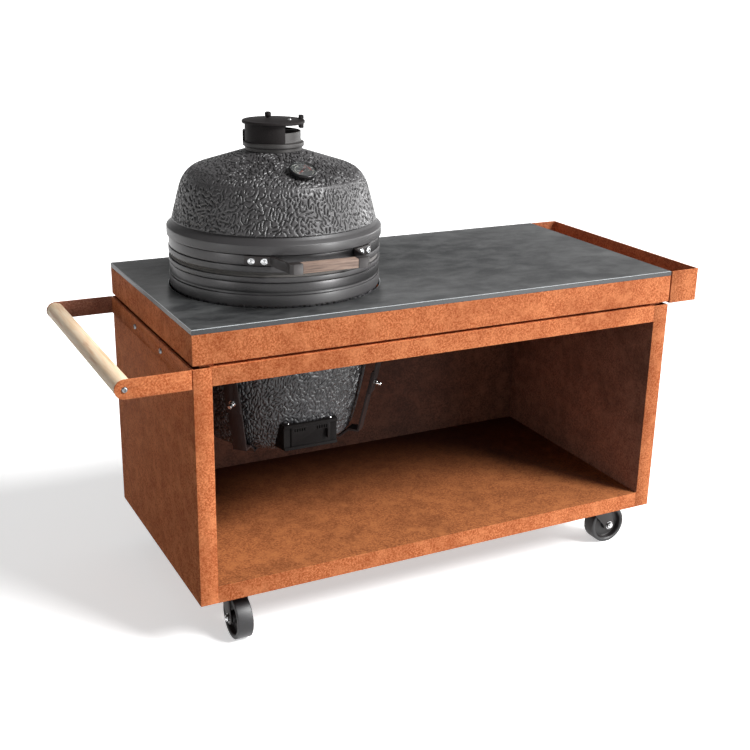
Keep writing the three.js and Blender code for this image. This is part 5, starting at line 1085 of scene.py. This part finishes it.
def flue():
    """The cast collar and wall with its fixed shield, bridge, spindle and ear."""
    centre = on_axis(box_of("flue_collar")[0][2])
    wall = eased([
        [56, 0], [70.5, 0], [70.5, 8], [74.5, 9.5], [75, 13], [75, 17], [74.5, 19.5], [70.5, 21], [68.4, 22],
        [67, 27], [67, 45.7], [63, 45.7], [63, 9], [56, 6.5],
    ], 0.9)
    turned("flue_wall", wall, centre, CAST_WORN, "lid", ("flue_collar",), FLUE_STEPS)
    shield = eased([[63.2, 44.8], [66.9, 44.8], [66.9, 61.5], [63.2, 61.5]], 0.5)
    arc_wall("flue_shield", shield, centre, CAST, "lid")
    spindle = [[0, 40], [5, 40], [5, 60.4], [4, 61.4], [0, 61.4]]
    turned("flue_spindle", spindle, centre, CHROME, "lid", (), 24)
    for name, reach, width, levels, angle, round_to in (
        ("bridge", (-64, 64), 14, (39.7, 45.1), 0, 2),
        ("ear", (71.3, 75.4), 16, (9, 46.5), FLUE_EAR_ANGLE, 0.9),
        ("ear_root", (66.5, 75.4), 16, (9.5, 18), FLUE_EAR_ANGLE, 0.9),
    ):
        billet(f"flue_{name}", reach, width, levels, centre, CAST, "lid", angle,
               round_to=round_to)
    flue_cap(centre)


def flue_cap(centre):
    """The disc with a rolled rim and a shallow crown, its skirt, hub, knob, lug and screw."""
    disc = np.vstack([
        [[0, 63.5], [72, 63.5]],
        eased([[76, 63.6], [77.5, 65.5], [77.5, 69.5], [75.5, 71.4], [71, 71.2]], 0.8)[2:-2],
        [[69, 70.6], [62, 71.6], [40, 73.6], [20, 74.9], [0, 75.4]],
    ])
    hub = [[5.4, 46], [11, 46], [11, 64], [5.4, 64]]
    knob = [[0, 72.5], [4.5, 72.5], [4.5, 76], [6.8, 78], [8, 81], [8, 85.5], [6.6, 88.2],
            [4, 89.15], [0, 89.15]]
    turned("flue_cap_disc", disc, centre, CAST, "flue_cap", ("flue_cap",), FLUE_STEPS)
    turned("flue_cap_hub", hub, centre, CAST, "flue_cap", (), 32)
    turned("flue_cap_knob", knob, centre + np.array(KNOB_PLACE) * MM, CAST, "flue_cap", (), 36)
    skirt = eased([[67.7, 21.8], [70.5, 21.8], [70.5, 63.8], [67.7, 63.8]], 0.6)
    arc_wall("flue_skirt", skirt, centre, CAST, "flue_cap", 96)
    billet("flue_cap_lug", (67.8, 77), 14, (48.7, 80.3), centre, CAST, "flue_cap", CAP_LUG_ANGLE)
    button_head("flue_cap_screw", centre + np.array(CAP_SCREW_PLACE) * MM, UP, 4.2, 3.2, "flue_cap")


GRID_RADIUS = 211.0
HOOP_RADIUS = 211.5
GRID_PITCH = 10.6
GRID_WIRE = 3.4
ROD_SIDES = 10


def rods(name, starts, ends, radius):
    """The cooking grid's round rods, all in one mesh: each is a circle carried from its start to
    its end."""
    line = (ends - starts) / np.linalg.norm(ends - starts, axis=1, keepdims=True)
    u = np.cross(line, UP)
    v = np.cross(line, u)
    turn = np.arange(ROD_SIDES) / ROD_SIDES * TAU
    circle = radius * MM * (np.cos(turn)[:, None] * u[:, None] + np.sin(turn)[:, None] * v[:, None])
    points = np.stack([starts[:, None] + circle, ends[:, None] + circle], 1)
    cell = grid_faces(2, ROD_SIDES, close_rows=False)
    faces = np.concatenate([cell + k * 2 * ROD_SIDES for k in range(len(starts))])
    lay(name, points, faces, GRID_STEEL, "table", sharp=False)


def inner_parts():
    """Firebox, fire ring, charcoal grate, and the cooking grid of round stainless rods, whose ends
    reach its hoop: half a rod is the square root of the hoop's radius squared less its own place
    squared."""
    softened("firebox", FIRECLAY, 1.5)
    softened("fire_ring", FIRECLAY, 1.5)
    softened("charcoal_grate", CAST)
    centre = on_axis(sum(corner[2] for corner in box_of("cooking_grid")) / 2)
    turn = np.arange(24) / 24 * TAU
    hoop = np.column_stack([HOOP_RADIUS + GRID_WIRE * np.cos(turn), GRID_WIRE * np.sin(turn)])
    turned("grid_hoop", hoop, centre, GRID_STEEL, "table", ("cooking_grid",), 120, sharp=False)
    for name, across, radius, height, order in (
        ("grid_rods", np.arange(-19, 20) * GRID_PITCH, 2.4, 0.0, (0, 1, 2)),
        ("grid_props", np.array([-95.0, 95.0]), 2.6, -0.7, (1, 0, 2)),
    ):
        reach = np.sqrt(GRID_RADIUS ** 2 - across ** 2)
        ends = np.column_stack([across, reach, np.full_like(across, height)])
        starts = ends * [1, -1, 1]
        rods(name, centre + MM * starts[:, order], centre + MM * ends[:, order], radius)


SCREW_ASIDE = 57
SCREW_BACK = 13


def draft_door():
    """The coated housing and sliding plate, with two bright screws on the housing's top."""
    softened("draft_housing", DRAFT_COAT, ease=0.6)
    softened("draft_door", DRAFT_COAT, ease=0.4)
    low, high = box_of("draft_housing")
    for side, word in ((-1, "a"), (1, "b")):
        seat = np.array([(low[0] + high[0]) / 2 + side * SCREW_ASIDE * MM, low[1] + SCREW_BACK * MM, high[2]])
        button_head(f"draft_screw_{word}", seat, UP, 3.2, 2.6)


CRADLE_JOINT = 588.2
CRADLE_JOINT_RADIUS = 268.5
CRADLE_LEAN = 0.225
CRADLE_SHEET = 5.1
CRADLE_NUT = [
    (0, -0.2), (8.5, -0.2), (8.5, 1.2), (7, 1.4, 1), (7.2, 1.9, 1), (7.2, 6.8, 1),
    (6.2, 7.4), (5.2, 7.4), (5.2, 17), (4.2, 18.2), (0, 18.2),
]


def cradle():
    """The bent bars that hold the bowl, and the bright nuts and bolt ends at their joints."""
    for index, corner in enumerate(("rear_right", "rear_left", "front_left", "front_right")):
        softened(f"cradle_hanger_{corner}", STRAP_COAT)
        softened(f"cradle_foot_{corner}", STRAP_COAT)
        turn = math.radians(45 + 90 * index)
        out = np.array([math.cos(turn), math.sin(turn), 0])
        way = (out - [0, 0, CRADLE_LEAN]) / math.hypot(1, CRADLE_LEAN)
        seat = on_axis(CRADLE_JOINT * MM) + (out * CRADLE_JOINT_RADIUS + way * CRADLE_SHEET) * MM
        turned(f"cradle_nut_{corner}", CRADLE_NUT, seat, CHROME, "table", (), HEAD_STEPS, way)


# ---------------------------------------------------------------- surroundings

FLOOR_HALF = 60.0
FLOOR_GLOW = 0.5
WALL_GLOW = 1.05
LEFT_GLOW = 0.6
SKY_GLOW = 0.27
GROUND_GLOW = 0.15
# Each range of direction over which the sky's glow changes: axis, begin, end, and both glows.
SKY_RANGES = (
    ("Z", 0.12, 0.3, WALL_GLOW, SKY_GLOW),
    ("Z", -0.09, -0.04, GROUND_GLOW, 1.0),
    ("X", -0.8, 0.2, LEFT_GLOW, 1.0),
)
LAMP_TARGET = Vector((0, 0, 0.6))
SUN_POWER = 4.6
SUN_SOFTNESS = 22
SUN_PLACE = (3.0, -3.4, 4.6)
SOFT_BOXES = (
    ("right_box", (3.4, -1.2, 2.2), 1.4, 40),
    ("side_card", (4.2, 1.0, 1.3), 1.5, 60),
    ("low_right_card", (1.7, -2.8, 0.95), 0.9, 110),
    ("low_left_card", (-3.7, -0.95, 0.95), 0.7, 14),
)
GLOSS_CARDS = ("side_card", "low_right_card", "low_left_card")


def studio_floor():
    """A wide pale floor that glows faintly, so that it comes out as white as the wall behind."""
    corners = [(x * FLOOR_HALF, y * FLOOR_HALF, 0) for x, y in ((-1, -1), (1, -1), (1, 1), (-1, 1))]
    mesh = bpy.data.meshes.new("floor")
    mesh.from_pydata(corners, [], [(0, 1, 2, 3)])
    floor = bpy.data.objects.new("floor", mesh)
    white = linear("#ffffff")
    material, tree, shader, place = start("pale_studio_floor", "#f6f6f6", 0.9,
                                          Emission_Color=white, Emission_Strength=FLOOR_GLOW)
    colour, _ = mottled(tree, place, "#f4f4f4", "#f9f9f9", 2000, detail=2)
    tree.links.new(colour, shader.inputs["Base Color"])
    mesh.materials.append(material)
    bpy.context.scene.collection.objects.link(floor)
    floor.visible_diffuse = False


def studio_sky():
    """An even white sky: its glow is the product of its ranges, dimmer overhead, below and at left."""
    world = bpy.data.worlds.new("studio_sky")
    world.use_nodes = True
    sky = world.node_tree
    way = add(sky, "TexCoord").outputs["Generated"]
    direction = add(sky, "SeparateXYZ", links={"Vector": way}).outputs
    glow = None
    for axis, begin, end, first, last in SKY_RANGES:
        limits = {"From Min": begin, "From Max": end, "To Min": first, "To Max": last}
        part = add(sky, "MapRange", limits, {"Value": direction[axis]}).outputs[0]
        if glow:
            part = add(sky, "Math", links={0: glow, 1: part}, operation="MULTIPLY").outputs[0]
        glow = part
    lit = sky.nodes["Background"].inputs
    lit["Color"].default_value = linear("#ffffff")
    sky.links.new(glow, lit["Strength"])
    bpy.context.scene.world = world


def studio_lamps():
    """A large soft key from the front right and soft boxes, of which the cards only make gloss."""
    sun = bpy.data.lights.new("key_lamp", "SUN")
    sun.energy = SUN_POWER
    sun.angle = math.radians(SUN_SOFTNESS)
    lamps = [("key_lamp", sun, SUN_PLACE)]
    for name, place, width, power in SOFT_BOXES:
        box = bpy.data.lights.new(name, "AREA")
        box.shape = "DISK"
        box.size = width
        box.energy = power
        lamps.append((name, box, place))
    for name, lamp, place in lamps:
        holder = bpy.data.objects.new(name, lamp)
        holder.location = place
        holder.rotation_euler = (LAMP_TARGET - Vector(place)).to_track_quat("-Z", "Y").to_euler()
        bpy.context.scene.collection.objects.link(holder)
        holder.visible_diffuse = name not in GLOSS_CARDS
    bpy.context.scene.view_settings.view_transform = "Standard"


for make in (cabinet, worktop, push_bar, casters, dome, bowl, bands_and_gaskets, lid_handle, hinge,
             thermometer, flue, inner_parts, draft_door, cradle, studio_floor, studio_sky, studio_lamps):
    make()
